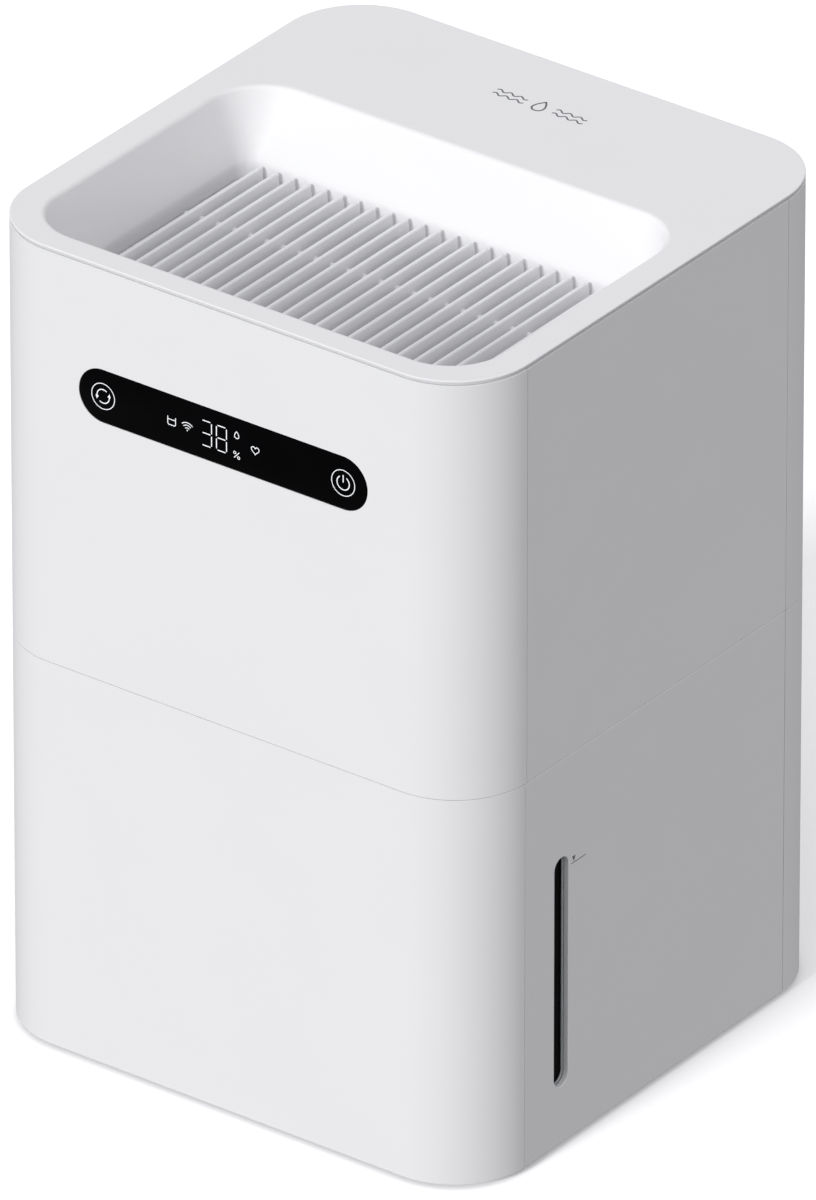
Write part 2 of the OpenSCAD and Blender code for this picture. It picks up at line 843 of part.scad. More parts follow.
// Catches the poured water round the air duct and leads it down two chutes to the tank
module fill_tray() {
    color("#DADBDE") difference() {
        union() {
            translate([0, 0, tray_z]) linear_extrude(tray_t)
                rounded_rect(-foot_x - basin_t, foot_x + basin_t, foot_y0 - basin_t, foot_y1 + basin_t,
                             basin_foot_r + basin_t);
            translate([0, 0, tray_z + tray_t - eps]) linear_extrude(ledge_z0 - tray_z - tray_t + eps)
                difference() {
                    rounded_rect(-foot_x - basin_t, foot_x + basin_t, foot_y0 - basin_t,
                                 foot_y1 + basin_t, basin_foot_r + basin_t);
                    rounded_rect(-foot_x, foot_x, foot_y0, foot_y1, basin_foot_r);
                }
            translate([0, fan_y, 0])
                tube_z(shroud_r + basin_t, shroud_r, tray_z + tray_t - eps, tray_z + tray_t + collar_h);
            for (s = [-1, 1])
                block([s * (chute_x + chute_w / 2) - chute_w / 2 - chute_t, chute_y0 - chute_t, deck_top],
                      [s * (chute_x + chute_w / 2) + chute_w / 2 + chute_t, chute_y1 + chute_t,
                       tray_z + eps]);
        }
        translate([0, fan_y, tray_z - 1]) cylinder(r = shroud_r, h = tray_t + 2);
        for (s = [-1, 1])
            block([s * (chute_x + chute_w / 2) - chute_w / 2, chute_y0, deck_top - 1],
                  [s * (chute_x + chute_w / 2) + chute_w / 2, chute_y1, tray_z + tray_t + 1]);
    }
}

// ---- display ----

module display_lens() {
    color(black) translate([0, 0, display_z]) {
        facing_y(-hd + lens_recess, shell_t - lens_recess + eps) stadium(display_w, display_h);
        facing_y(-hd + shell_t, lens_flange_t)
            stadium(display_w + 2 * display_flange, display_h + 2 * display_flange);
    }
}

module display_board() {
    color(board_green) block([-display_w / 2, panel_board_y, display_z - panel_board_h / 2],
                             [display_w / 2, panel_board_y + board_t, display_z + panel_board_h / 2]);
}

module digit_module() {
    color("#E8E8E8") block([-13, -hd + shell_t + lens_flange_t + 0.3, display_z - 8],
                           [13, panel_board_y, display_z + 8]);
}

module touch_pads() {
    y0 = -hd + shell_t + lens_flange_t;
    color(steel) for (s = [-1, 1]) translate([s * key_spacing / 2, 0, display_z])
        facing_y(y0, panel_board_y - y0) difference() {
            circle(5);
            circle(3);
        }
}

// Flat cable from the display board down to the deck and back to the electronics
module display_ribbon() {
    w = 6;
    t = 0.5;
    x1 = shroud_r + shroud_t + 7;
    y0 = panel_board_y;
    z0 = deck_top + snug;
    color("#B8B8BC") {
        block([40, y0, z0], [40 + w, y0 + t, display_z - panel_board_h / 2]);
        block([40, y0, z0], [x1 + w, y0 + w, z0 + t]);
        block([x1, y0, z0], [x1 + w, box_y0 + w, z0 + t]);
        block([box_x + snug, box_y0, z0], [x1 + w, box_y0 + w, z0 + t]);
    }
}

// ---- electronics ----

module electronics_box() {
    color(grey) difference() {
        block([-box_x, box_y0, deck_top], [box_x, box_y1, box_z1]);
        block([-box_x + box_t, box_y0 + box_t, deck_top + box_t], [box_x - box_t, box_y1 - box_t, box_z1 + 1]);
        block([inlet_x - inlet_w / 2 - snug, box_y1 - box_t - 1, inlet_z - inlet_h / 2 - snug],
              [inlet_x + inlet_w / 2 + snug, box_y1 + 1, inlet_z + inlet_h / 2 + snug]);
    }
}

module electronics_lid() {
    color(grey) {
        block([-box_x, box_y0, box_z1], [box_x, box_y1, box_z1 + box_t]);
        block([-box_x + box_t + snug, box_y0 + box_t + snug, box_z1 - 2],
              [box_x - box_t - snug, box_y1 - box_t - snug, box_z1 + eps]);
    }
}

// Circuit board on four pillars, with its larger components
module main_board() {
    z = deck_top + box_t;
    x0 = -box_x + box_t + 4;
    y0 = box_y0 + box_t + 3;
    w = 62;
    d = box_y1 - box_y0 - 2 * box_t - 6;
    color(board_green) {
        block([x0, y0, z + 5], [x0 + w, y0 + d, z + 5 + board_t]);
        for (x = [x0 + 4, x0 + w - 4], y = [y0 + 4, y0 + d - 4])
            translate([x, y, z]) cylinder(r = 2.5, h = 5 + eps);
        block([x0 + 22, y0 + d / 2 - 6, z + 5 + board_t - eps], [x0 + 34, y0 + d / 2 + 6, z + 9]);
        block([x0 + 4, y0 + 8, z + 5 + board_t - eps], [x0 + 12, y0 + 26, z + 15]);
        for (i = [0 : 2]) translate([x0 + w - 10, y0 + 10 + i * 9, z + 5 + board_t - eps])
            cylinder(r = 3, h = 9);
    }
}

module power_supply() {
    z = deck_top + box_t;
    x1 = box_x - box_t - 4;
    y0 = box_y0 + box_t + 3;
    w = 62;
    d = box_y1 - box_y0 - 2 * box_t - 6;
    color("#C8A24A") {
        block([x1 - w, y0, z + 5], [x1, y0 + d, z + 5 + board_t]);
        for (x = [x1 - w + 4, x1 - 4], y = [y0 + 4, y0 + d - 4])
            translate([x, y, z]) cylinder(r = 2.5, h = 5 + eps);
        block([x1 - w + 8, y0 + 8, z + 5 + board_t - eps], [x1 - w + 30, y0 + 28, z + 27]);
        for (i = [0 : 1]) translate([x1 - 12, y0 + 10 + i * 14, z + 5 + board_t - eps])
            cylinder(r = 5.5, h = 18);
    }
}

module inlet_socket() {
    translate([inlet_x, inlet_z]) stadium(pin_gap + 8.6, 8.6);
}

module power_inlet() {
    y0 = hd - 1 - inlet_l;
    color(black) difference() {
        block([inlet_x - inlet_w / 2, y0, inlet_z - inlet_h / 2],
              [inlet_x + inlet_w / 2, hd - 1, inlet_z + inlet_h / 2]);
        facing_y(y0 + 3, inlet_l) inlet_socket();
        for (s = [-1, 1]) facing_y(y0 - 1, inlet_l)
            translate([inlet_x + s * pin_gap / 2, inlet_z]) circle(pin_r + 0.05);
    }
}

module inlet_pins() {
    y0 = hd - 1 - inlet_l;
    color(steel) for (s = [-1, 1]) facing_y(y0 - 2, inlet_l)
        translate([inlet_x + s * pin_gap / 2, inlet_z]) circle(pin_r);
}

// ---- sensors ----

module humidity_sensor() {
    y0 = hd - frame_in;
    color(board_green) {
        block([sensor_x - 6, y0, intake_z - 8], [sensor_x + 6, y0 + board_t, intake_z + 8]);
        block([sensor_x - 2.5, y0 + board_t - eps, intake_z - 2.5], [sensor_x + 2.5, y0 + 2.6, intake_z + 2.5]);
    }
}

module level_sensor() {
    color("#C9CBCE") translate([float_x, float_y, 0]) {
        translate([0, 0, probe_z]) cylinder(r = probe_r, h = deck_z - probe_z);
        translate([0, 0, deck_z - 5]) cylinder(r = probe_r + 2, h = 5);
    }
}

// ---- removable grilles ----

// Section of a slat: thicker at its foot, round at its top
module slat_profile() {
    top = slat_top - slat_t / 2;
    polygon([[-slat_foot_t / 2, slat_top - slat_h], [slat_foot_t / 2, slat_top - slat_h],
             [slat_t / 2, top], [-slat_t / 2, top]]);
    translate([0, top]) circle(slat_t / 2);
}

// Fins that run front to back, tied by two cross ribs and a low frame
module outlet_grille() {
    gap = slide_gap;
    x1 = foot_x - gap;
    y0 = foot_y0 + gap;
    y1 = foot_y1 - gap;
    slat_z0 = slat_top - slat_h;
    rear = y1 - slat_end_gap;
    front = y0 + slat_end_gap;
    rib_y = rear - rib_from_rear;
    color("#DFDFE2") {
        translate([0, 0, grille_z0]) linear_extrude(grille_frame_h) difference() {
            rounded_rect(-x1, x1, y0, y1, basin_foot_r - gap);
            rounded_rect(-x1 + grille_t, x1 - grille_t, y0 + grille_t, y1 - grille_t, basin_foot_r - grille_t);
        }
        for (y = [rib_y, front + (rib_y - front) / 3])
            block([-x1 + grille_t - eps, y, grille_z0], [x1 - grille_t + eps, y + rib_t, slat_top - rib_drop]);
        for (i = [0 : slat_count - 1]) translate([(i - (slat_count - 1) / 2) * slat_pitch, 0, 0]) {
            facing_y(front, rear - front) slat_profile();
            for (y = [y0 + grille_gap, y1 - grille_t - rib_t])
                block([-slat_t / 2, y, grille_z0], [slat_t / 2, y + grille_t + rib_t - grille_gap, slat_z0 + 1]);
        }
    }
}

module intake_grille() {
    pitch = (intake_w - 10) / intake_bars;
    color(white) {
        facing_y(hd - shell_t, shell_t) difference() {
            intake_outline();
            for (i = [0 : intake_bars - 1])
                translate([-intake_w / 2 + 5 + (i + 0.5) * pitch, intake_z])
                    rotate(90) stadium(intake_h - 12, bar_gap);
        }
    }
}

module filter_frame() {
    w = intake_w / 2 - 1;
    color("#55585C") facing_y(filter_y0, filter_t) difference() {
        rounded_rect(-w, w, intake_z0 + 1, intake_z0 + intake_h - 1, 4);
        rounded_rect(-w + filter_rim, w - filter_rim, intake_z0 + 1 + filter_rim,
                     intake_z0 + intake_h - 1 - filter_rim, 2);
    }
}

module filter_mesh() {
    w = intake_w / 2 - 1 - filter_rim;
    color("#2F3236") facing_y(filter_y0 + filter_t / 2 - 0.4, 0.8)
        rounded_rect(-w, w, intake_z0 + 1 + filter_rim, intake_z0 + intake_h - 1 - filter_rim, 2);
}

feet();
base_plate();
base_screws();
tank_front_shell();
tank_left_panel();
tank_right_panel();
tank_rear_shell();
tank_reservoir();
level_window();
window_seal();
left_bearing();
right_bearing();
float_guide();
float();
float_magnet();
wheel_shaft();
evaporation_discs();
disc_spacers();
wheel_end_plates();
tie_rods();
wheel_gear();
front_cover();
left_side_panel();
right_side_panel();
rear_cover();
top_cover();
body_seal();
inner_frame();
fan_deck();
deck_screws();
fan_shroud();
motor_bracket();
fan_motor();
fill_tray();
impeller();
fan_shaft();
motor_cup();
drive_motor();
shaft_seal();
drive_pinion();
pinion_shaft();
display_lens();
display_board();
digit_module();
touch_pads();
display_ribbon();
electronics_box();
electronics_lid();
main_board();
power_supply();
power_inlet();
inlet_pins();
humidity_sensor();
level_sensor();
outlet_grille();
intake_grille();
filter_frame();
filter_mesh();
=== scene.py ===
"""Evaporative room humidifier: a moulded white body that lifts off a water tank, with a slatted air
outlet in its pour-in basin, a glossy black display and an upright level window. Everything is in
metres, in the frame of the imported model, and every section makes one piece or a group of like pieces."""

import math

import bmesh
import bpy
import numpy as np
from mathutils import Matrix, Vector


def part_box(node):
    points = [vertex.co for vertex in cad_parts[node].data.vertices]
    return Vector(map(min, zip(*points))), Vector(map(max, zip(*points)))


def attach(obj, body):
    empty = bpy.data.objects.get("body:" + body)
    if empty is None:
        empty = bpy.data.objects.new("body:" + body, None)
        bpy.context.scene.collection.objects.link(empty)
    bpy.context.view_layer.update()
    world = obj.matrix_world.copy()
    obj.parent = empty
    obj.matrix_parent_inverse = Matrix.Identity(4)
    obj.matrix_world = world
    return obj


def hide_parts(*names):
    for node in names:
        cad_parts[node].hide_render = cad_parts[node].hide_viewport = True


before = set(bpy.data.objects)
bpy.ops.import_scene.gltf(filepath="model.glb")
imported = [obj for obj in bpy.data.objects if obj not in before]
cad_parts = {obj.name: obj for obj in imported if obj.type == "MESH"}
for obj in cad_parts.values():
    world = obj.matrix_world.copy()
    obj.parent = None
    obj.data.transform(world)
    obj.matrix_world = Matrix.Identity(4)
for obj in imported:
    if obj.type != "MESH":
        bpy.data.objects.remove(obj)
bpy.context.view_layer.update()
mm = 0.001

# ---------------------------------------------------------------------------------------------
# Studio: a sheet of white seamless paper, a room that is bright above and dim below, one broad soft key
# light from low in front and a long lens, as for a catalogue picture. The paper's own faint glow stands
# for the light that a white studio throws back from everywhere.
# ---------------------------------------------------------------------------------------------


def linear(hex_colour):
    """sRGB hex to linear RGBA: a channel c gives c / 12.92 when dark, else ((c + 0.055) / 1.055) to the
    power 2.4."""
    channels = [int(hex_colour[i:i + 2], 16) / 255 for i in (1, 3, 5)]
    return tuple(c / 12.92 if c <= 0.04045 else ((c + 0.055) / 1.055) ** 2.4 for c in channels) + (1.0,)


def add_node(material, kind, inputs={}, **settings):
    """Adds one node. An input given an output socket is linked to it, any other input is set, and settings
    are the node's own properties."""
    made = material.node_tree.nodes.new(kind)
    for name, value in settings.items():
        setattr(made, name, value)
    for name, value in inputs.items():
        if isinstance(value, bpy.types.NodeSocket):
            material.node_tree.links.new(value, made.inputs[name])
        else:
            made.inputs[name].default_value = value
    return made


def empty_material(name):
    """A new material with an empty node tree."""
    made = bpy.data.materials.new(name)
    made.use_nodes = True
    made.node_tree.nodes.clear()
    return made


seamless_paper = empty_material("white_seamless_paper")
paper_face = add_node(seamless_paper, "ShaderNodeBsdfDiffuse", {"Color": linear("#F6F6F7"), "Roughness": 1.0})
paper_glow = add_node(seamless_paper, "ShaderNodeEmission", {"Color": linear("#FFFFFF"), "Strength": 0.12})
paper_both = add_node(seamless_paper, "ShaderNodeAddShader",
                      {0: paper_face.outputs[0], 1: paper_glow.outputs[0]})
add_node(seamless_paper, "ShaderNodeOutputMaterial", {"Surface": paper_both.outputs[0]})

paper_mesh = bpy.data.meshes.new("studio_paper")
paper_mesh.from_pydata([(-30, -30, 0), (30, -30, 0), (30, 30, 0), (-30, 30, 0)], [], [(0, 1, 2, 3)])
paper_mesh.materials.append(seamless_paper)
paper = bpy.data.objects.new("studio_paper", paper_mesh)
bpy.context.scene.collection.objects.link(paper)
# The paper is only seen: what it would throw back on the object is the lower half of the room's light.
paper.visible_diffuse = False
paper.visible_glossy = False

room = bpy.data.worlds.new("studio_room")
room.use_nodes = True
room_way = add_node(room, "ShaderNodeTexCoord").outputs["Generated"]
room_height = add_node(room, "ShaderNodeSeparateXYZ", {0: room_way}).outputs["Z"]
room_light = add_node(room, "ShaderNodeMapRange",
                      {"Value": room_height, "From Min": -0.15, "From Max": 0.15, "To Min": 0.24,
                       "To Max": 0.89})
room.node_tree.nodes["Background"].inputs["Color"].default_value = linear("#F5F5F7")
room.node_tree.links.new(room_light.outputs["Result"], room.node_tree.nodes["Background"].inputs["Strength"])
bpy.context.scene.world = room

key = bpy.data.objects.new("key_light", bpy.data.lights.new("key_light", "SUN"))
key.data.energy = 1.9
key.data.angle = math.radians(12)
key.rotation_euler = Vector((-0.04, -0.955, 0.29)).to_track_quat("Z", "Y").to_euler()
bpy.context.scene.collection.objects.link(key)

azimuth, elevation = math.radians(36.68), math.radians(29.20)
aim = Vector((-0.0002, 0.0002, 0.1789))
outward = Vector((math.sin(azimuth) * math.cos(elevation), -math.cos(azimuth) * math.cos(elevation),
                  math.sin(elevation)))
camera = bpy.data.objects.new("camera", bpy.data.cameras.new("camera"))
camera.data.sensor_width = 36
camera.data.lens = 774.1
camera.data.clip_end = 100
camera.location = aim + outward * 10.204
camera.rotation_euler = outward.to_track_quat("Z", "Y").to_euler()
bpy.context.scene.collection.objects.link(camera)
bpy.context.scene.camera = camera
bpy.context.scene.view_settings.view_transform = "Standard"

# ---------------------------------------------------------------------------------------------
# Outer walls: eight covers and panels injection-moulded in white ABS, 2.5 mm thick, clipped to the
# tank and to the inner frame. Their edges are broken by a small radius, so that the parting lines
# between them read as fine grooves. Each wall is one band that follows the body's rounded plan.
# ---------------------------------------------------------------------------------------------

corner_radius = 35 * mm
wall = 2.5 * mm
body_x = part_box("right_side_panel")[1].x
body_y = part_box("rear_cover")[1].y
arc_x, arc_y = body_x - corner_radius, body_y - corner_radius


def moulded_plastic(name, colour, shade, roughness, grain_mm=0.35, texture=0.05, gloss=0.5):
    """Injection-moulded plastic: the mould's spark-eroded texture is a fine bump of that grain, the sheen
    varies a little over centimetres, and the colour drifts slightly towards a shade, as it does with the
    flow of the melt."""
    made = empty_material(name)
    place = add_node(made, "ShaderNodeTexCoord").outputs["Object"]
    flow = add_node(made, "ShaderNodeTexNoise",
                    {"Vector": place, "Scale": 22.0, "Detail": 3.0}).outputs["Fac"]
    grain = add_node(made, "ShaderNodeTexNoise",
                     {"Vector": place, "Scale": 1 / (grain_mm * mm), "Detail": 2.0}).outputs["Fac"]
    tone = add_node(made, "ShaderNodeMix", {"Factor": flow, "A": linear(colour), "B": linear(shade)},
                    data_type="RGBA")
    sheen = add_node(made, "ShaderNodeMapRange",
                     {"Value": flow, "To Min": roughness - 0.04, "To Max": roughness + 0.04})
    relief = add_node(made, "ShaderNodeBump", {"Height": grain, "Strength": texture, "Distance": 0.05 * mm})
    face = add_node(made, "ShaderNodeBsdfPrincipled",
                    {"Base Color": tone.outputs["Result"], "Roughness": sheen.outputs["Result"],
                     "Normal": relief.outputs["Normal"], "IOR": 1.5, "Specular IOR Level": gloss})
    add_node(made, "ShaderNodeOutputMaterial", {"Surface": face.outputs[0]})
    return made


def grid_faces(rows, columns, closed_rows=False, closed_columns=False):
    """Quads of a grid of points numbered row by row: (r, c), (r, c + 1), (r + 1, c + 1), (r + 1, c). A
    closed direction joins its last line to its first."""
    r = np.arange(rows if closed_rows else rows - 1)[:, None]
    c = np.arange(columns if closed_columns else columns - 1)[None, :]
    next_r, next_c = (r + 1) % rows, (c + 1) % columns
    corners = np.stack(np.broadcast_arrays(r * columns + c, r * columns + next_c,
                                           next_r * columns + next_c, next_r * columns + c), -1)
    return corners.reshape(-1, 4).tolist()


def carried(path, sideways, profile):
    """Carries a flat profile of (sideways, up) pairs along a level path: point = path + sideways
    direction times the first number, at the height of the second."""
    points = np.empty((len(path), len(profile), 3))
    points[..., :2] = path[:, None] + sideways[:, None] * profile[None, :, :1]
    points[..., 2] = profile[None, :, 1]
    return points.reshape(-1, 3)


def new_mesh(name, points, faces, material):
    """A mesh of points and faces whose normals point outwards, smooth but for edges sharper than 35
    degrees."""
    mesh = bpy.data.meshes.new(name)
    mesh.from_pydata(np.asarray(points, float).reshape(-1, 3).tolist(), [], faces)
    work = bmesh.new()
    work.from_mesh(mesh)
    bmesh.ops.remove_doubles(work, verts=work.verts, dist=0.001 * mm)
    bmesh.ops.recalc_face_normals(work, faces=work.faces)
    work.to_mesh(mesh)
    work.free()
    mesh.shade_smooth()
    mesh.set_sharp_from_angle(angle=math.radians(35))
    mesh.materials.append(material)
    return mesh


def new_piece(name, mesh, body, nodes=()):
    """Puts a mesh on show as a piece that rides on a body of the model and stands for some of its nodes."""
    made = bpy.data.objects.new(name, mesh)
    bpy.context.scene.collection.objects.link(made)
    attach(made, body)
    if nodes:
        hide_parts(*nodes)
    return made


def cut(piece, cutters):
    """Cuts closed meshes out of a piece by an exact Boolean, and keeps the result as its own mesh."""
    for number, cutter in enumerate(cutters):
        tool = bpy.data.objects.new("cutter_%d" % number, cutter)
        bpy.context.scene.collection.objects.link(tool)
        boolean = piece.modifiers.new("opening", "BOOLEAN")
        boolean.operation, boolean.solver, boolean.object = "DIFFERENCE", "EXACT", tool
        bpy.context.view_layer.update()
        shown = piece.evaluated_get(bpy.context.evaluated_depsgraph_get())
        result = bpy.data.meshes.new_from_object(shown)
        piece.modifiers.clear()
        piece.data = result
        bpy.data.objects.remove(tool)
    return piece


def broken_edges(piece, radius, steps=2, angle=40):
    """Rounds every edge of a piece that is sharper than angle, as a moulding tool leaves it."""
    rounding = piece.modifiers.new("edge_radius", "BEVEL")
    rounding.width, rounding.segments = radius, steps
    rounding.limit_method, rounding.angle_limit = "ANGLE", math.radians(angle)
    rounding.harden_normals = True
    return piece


def stadium(width, height, per_end=24):
    """Outline of a slot along its first axis: two half circles of radius height / 2 about the points at
    plus and minus (width - height) / 2."""
    t = np.linspace(-np.pi / 2, np.pi / 2, per_end)
    end = np.stack([np.cos(t), np.sin(t)], -1) * height / 2 + [(width - height) / 2, 0]
    return np.concatenate([end, -end])


def prism(name, outline, axis, start, length, material):
    """A flat outline drawn out along axis 0, 1 or 2 from start: the outline's two numbers fill the other
    two axes."""
    count = len(outline)
    points = np.empty((2, count, 3))
    points[..., [a for a in (0, 1, 2) if a != axis]] = outline
    points[..., axis] = np.array([[start], [start + length]])
    faces = grid_faces(2, count, closed_columns=True) + [list(range(count)),
                                                         list(range(2 * count - 1, count - 1, -1))]
    return new_mesh(name, points, faces, material)


def corner_arc(centre_x, centre_y, start_deg, end_deg, count=26):
    """Points and outward normals of one upright corner: centre + radius times (cos a, sin a)."""
    a = np.radians(np.linspace(start_deg, end_deg, count))
    normal = np.stack([np.cos(a), np.sin(a)], -1)
    return np.array([centre_x, centre_y]) + corner_radius * normal, normal


def wall_path(ends_at_y, facing):
    """Plan of an end wall: both its corners and the straight between them, for the front (-1) or the rear
    (+1)."""
    spare = math.degrees(math.asin((abs(ends_at_y) - arc_y) / corner_radius))
    first = corner_arc(arc_x, facing * arc_y, facing * spare, facing * 90)
    second = corner_arc(-arc_x, facing * arc_y, facing * 90, facing * (180 - spare))
    return np.concatenate([first[0], second[0]]), np.concatenate([first[1], second[1]])


def side_path(y0, y1, side):
    """Plan of a side panel: straight along the side from y0 to y1."""
    ends = np.array([[side * body_x, y0], [side * body_x, y1]])
    return ends, np.array([[side, 0.0], [side, 0.0]])


def outer_wall(node, body, path, z0, z1):
    """One outer cover: the wall's thickness and height carried along a plan path, from z0 to z1."""
    profile = np.array([[0, z0], [0, z1], [-wall, z1], [-wall, z0]])
    count = len(path[0])
    faces = grid_faces(count, 4, closed_columns=True) + [[0, 1, 2, 3], [4 * count - i for i in (1, 2, 3, 4)]]
    mesh = new_mesh(node + "_skin", carried(*path, profile), faces, white_abs)
    return new_piece(node + "_skin", mesh, body, [node])


# White ABS, spark-eroded mould: a satin face with a soft, wide highlight and no visible gloss.
white_abs = moulded_plastic("white_abs_spark_eroded", "#E4E4E5", "#E1E1E3", 0.5, texture=0.06, gloss=0.25)

# The parting line is closed up to a hairline, as it looks once the covers are pressed home.
line = 0.2 * mm
upright_line = 0.22 * mm
edge_radius = 0.12 * mm
lower_z0, lower_z1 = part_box("tank_rear_shell")[0].z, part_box("tank_rear_shell")[1].z
upper_z0, upper_z1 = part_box("rear_cover")[0].z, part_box("rear_cover")[1].z
lid_z0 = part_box("top_cover")[1].z - 2 * mm
split_z = (lower_z1 + upper_z0) / 2
lower_z1, upper_z0 = split_z - line / 2, split_z + line / 2
upper_z1 = lid_z0 - line
tank_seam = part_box("tank_right_panel")[0].y
body_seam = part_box("right_side_panel")[0].y
rear_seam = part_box("right_side_panel")[1].y

tank_front = outer_wall("tank_front_shell", "tank", wall_path(tank_seam - upright_line, -1), lower_z0,
                        lower_z1)
tank_rear = outer_wall("tank_rear_shell", "tank", wall_path(rear_seam + upright_line, 1), lower_z0, lower_z1)
tank_left = outer_wall("tank_left_panel", "tank", side_path(tank_seam, rear_seam, -1), lower_z0, lower_z1)
tank_right = outer_wall("tank_right_panel", "tank", side_path(tank_seam, rear_seam, 1), lower_z0, lower_z1)
front = outer_wall("front_cover", "upper", wall_path(body_seam - upright_line, -1), upper_z0, upper_z1)
rear = outer_wall("rear_cover", "upper", wall_path(rear_seam + upright_line, 1), upper_z0, upper_z1)
left = outer_wall("left_side_panel", "upper", side_path(body_seam, rear_seam, -1), upper_z0, upper_z1)
right = outer_wall("right_side_panel", "upper", side_path(body_seam, rear_seam, 1), upper_z0, upper_z1)

# Openings: the display's window in front, the level slot at the right, the intake and the mains inlet behind.
lens_low, lens_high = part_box("display_lens")
display_z = (lens_low.z + lens_high.z) / 2
display_w, display_h = 140.7 * mm, 23.4 * mm
window_low, window_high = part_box("level_window")
slot_y, slot_z = (window_low.y + window_high.y) / 2, (window_low.z + window_high.z) / 2
slot_w, slot_h = 9.4 * mm, 103.7 * mm
intake_low, intake_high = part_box("intake_grille")
inlet_low, inlet_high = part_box("power_inlet")


def rounded_rectangle(x0, x1, y0, y1, radius, per_corner=10):
    """Anticlockwise outline: a quarter circle about each of the four corner centres, joined by straight
    lines."""
    t = np.linspace(0, np.pi / 2, per_corner)
    quarters = []
    for turn, cx, cy in ((0, x1, y1), (1, x0, y1), (2, x0, y0), (3, x1, y0)):
        a = t + turn * np.pi / 2
        centre = [cx - radius * (1 if turn in (0, 3) else -1), cy - radius * (1 if turn in (0, 1) else -1)]
        quarters.append(centre + radius * np.stack([np.cos(a), np.sin(a)], -1))
    return np.concatenate(quarters)


display_opening = stadium(display_w + 0.3 * mm, display_h + 0.3 * mm, 40) + [0, display_z]
cut(front, [prism("display_opening", display_opening, 1, -body_y - 1 * mm, wall + 2 * mm, white_abs)])
slot_opening = stadium(slot_h, slot_w)[:, ::-1] + [slot_y, slot_z]
cut(tank_right, [prism("slot_opening", slot_opening, 0, body_x - wall - 1 * mm, wall + 2 * mm, white_abs)])
intake_opening = rounded_rectangle(intake_low.x - 0.3 * mm, intake_high.x + 0.3 * mm, intake_low.z - 0.3 * mm,
                                   intake_high.z + 0.3 * mm, 6.3 * mm)
inlet_opening = rounded_rectangle(inlet_low.x - 0.1 * mm, inlet_high.x + 0.1 * mm, inlet_low.z - 0.1 * mm,
                                  inlet_high.z + 0.1 * mm, 0.8 * mm, 4)
cut(rear, [prism("rear_opening", outline, 1, body_y - wall - 1 * mm, wall + 2 * mm, white_abs)
           for outline in (intake_opening, inlet_opening)])
for skin in (tank_front, tank_rear, tank_left, front, rear, left, right):
    broken_edges(skin, edge_radius)
broken_edges(tank_right, 0.3 * mm)

# ---------------------------------------------------------------------------------------------
# Top cover: one white ABS moulding with a flat deck and a pour-in basin whose walls lean inwards down
# to the grille. It hangs on a skirt inside the walls, and a ledge at the basin's foot carries the grille.
# ---------------------------------------------------------------------------------------------

top_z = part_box("top_cover")[1].z
grille_low, grille_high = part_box("outlet_grille")
foot_x = grille_high.x + 0.4 * mm
foot_y0, foot_y1 = grille_low.y - 0.4 * mm, grille_high.y + 0.4 * mm
basin_x, basin_y0, basin_y1 = foot_x + 7.3 * mm, foot_y0 - 7.3 * mm, foot_y1 + 12.4 * mm
slat_top = grille_high.z


def deck_loop(inset, z):
    """The body's plan drawn inwards, as one level loop."""
    outline = rounded_rectangle(-body_x + inset, body_x - inset, -body_y + inset, body_y - inset,
                                corner_radius - inset, 20)
    return np.column_stack([outline, np.full(len(outline), z)])


def basin_loop(depth, grow=0.0):
    """The basin's outline at a depth below the deck: sizes and corner radius go in a straight line from
    the brim to the foot, which is reached at the top of the slats."""
    share = min(depth / (top_z - slat_top), 1.0)
    x = basin_x + (foot_x - basin_x) * share + grow
    y0 = basin_y0 + (foot_y0 - basin_y0) * share - grow
    y1 = basin_y1 + (foot_y1 - basin_y1) * share + grow
    outline = rounded_rectangle(-x, x, y0, y1, (25 - 17 * share) * mm + grow, 20)
    return np.column_stack([outline, np.full(len(outline), top_z - depth)])


def ledge_loop(inset, z, radius):
    """The outline of the basin's foot, drawn inwards by inset, as one level loop."""
    outline = rounded_rectangle(-foot_x + inset, foot_x - inset, foot_y0 + inset, foot_y1 - inset, radius, 20)
    return np.column_stack([outline, np.full(len(outline), z)])


# The cover's rim leans under a little, so its side lies in half shade below the deck.
edge_round, rim_lean, brim_round = 0.4 * mm, 0.6 * mm, 1.8 * mm
outer_edge = [deck_loop(edge_round * (1 - math.cos(a)), top_z - edge_round * (1 - math.sin(a)))
              for a in np.radians(np.linspace(0, 90, 7))]
brim, brim_top, brim_side = basin_loop(0), basin_loop(0, brim_round), basin_loop(brim_round)
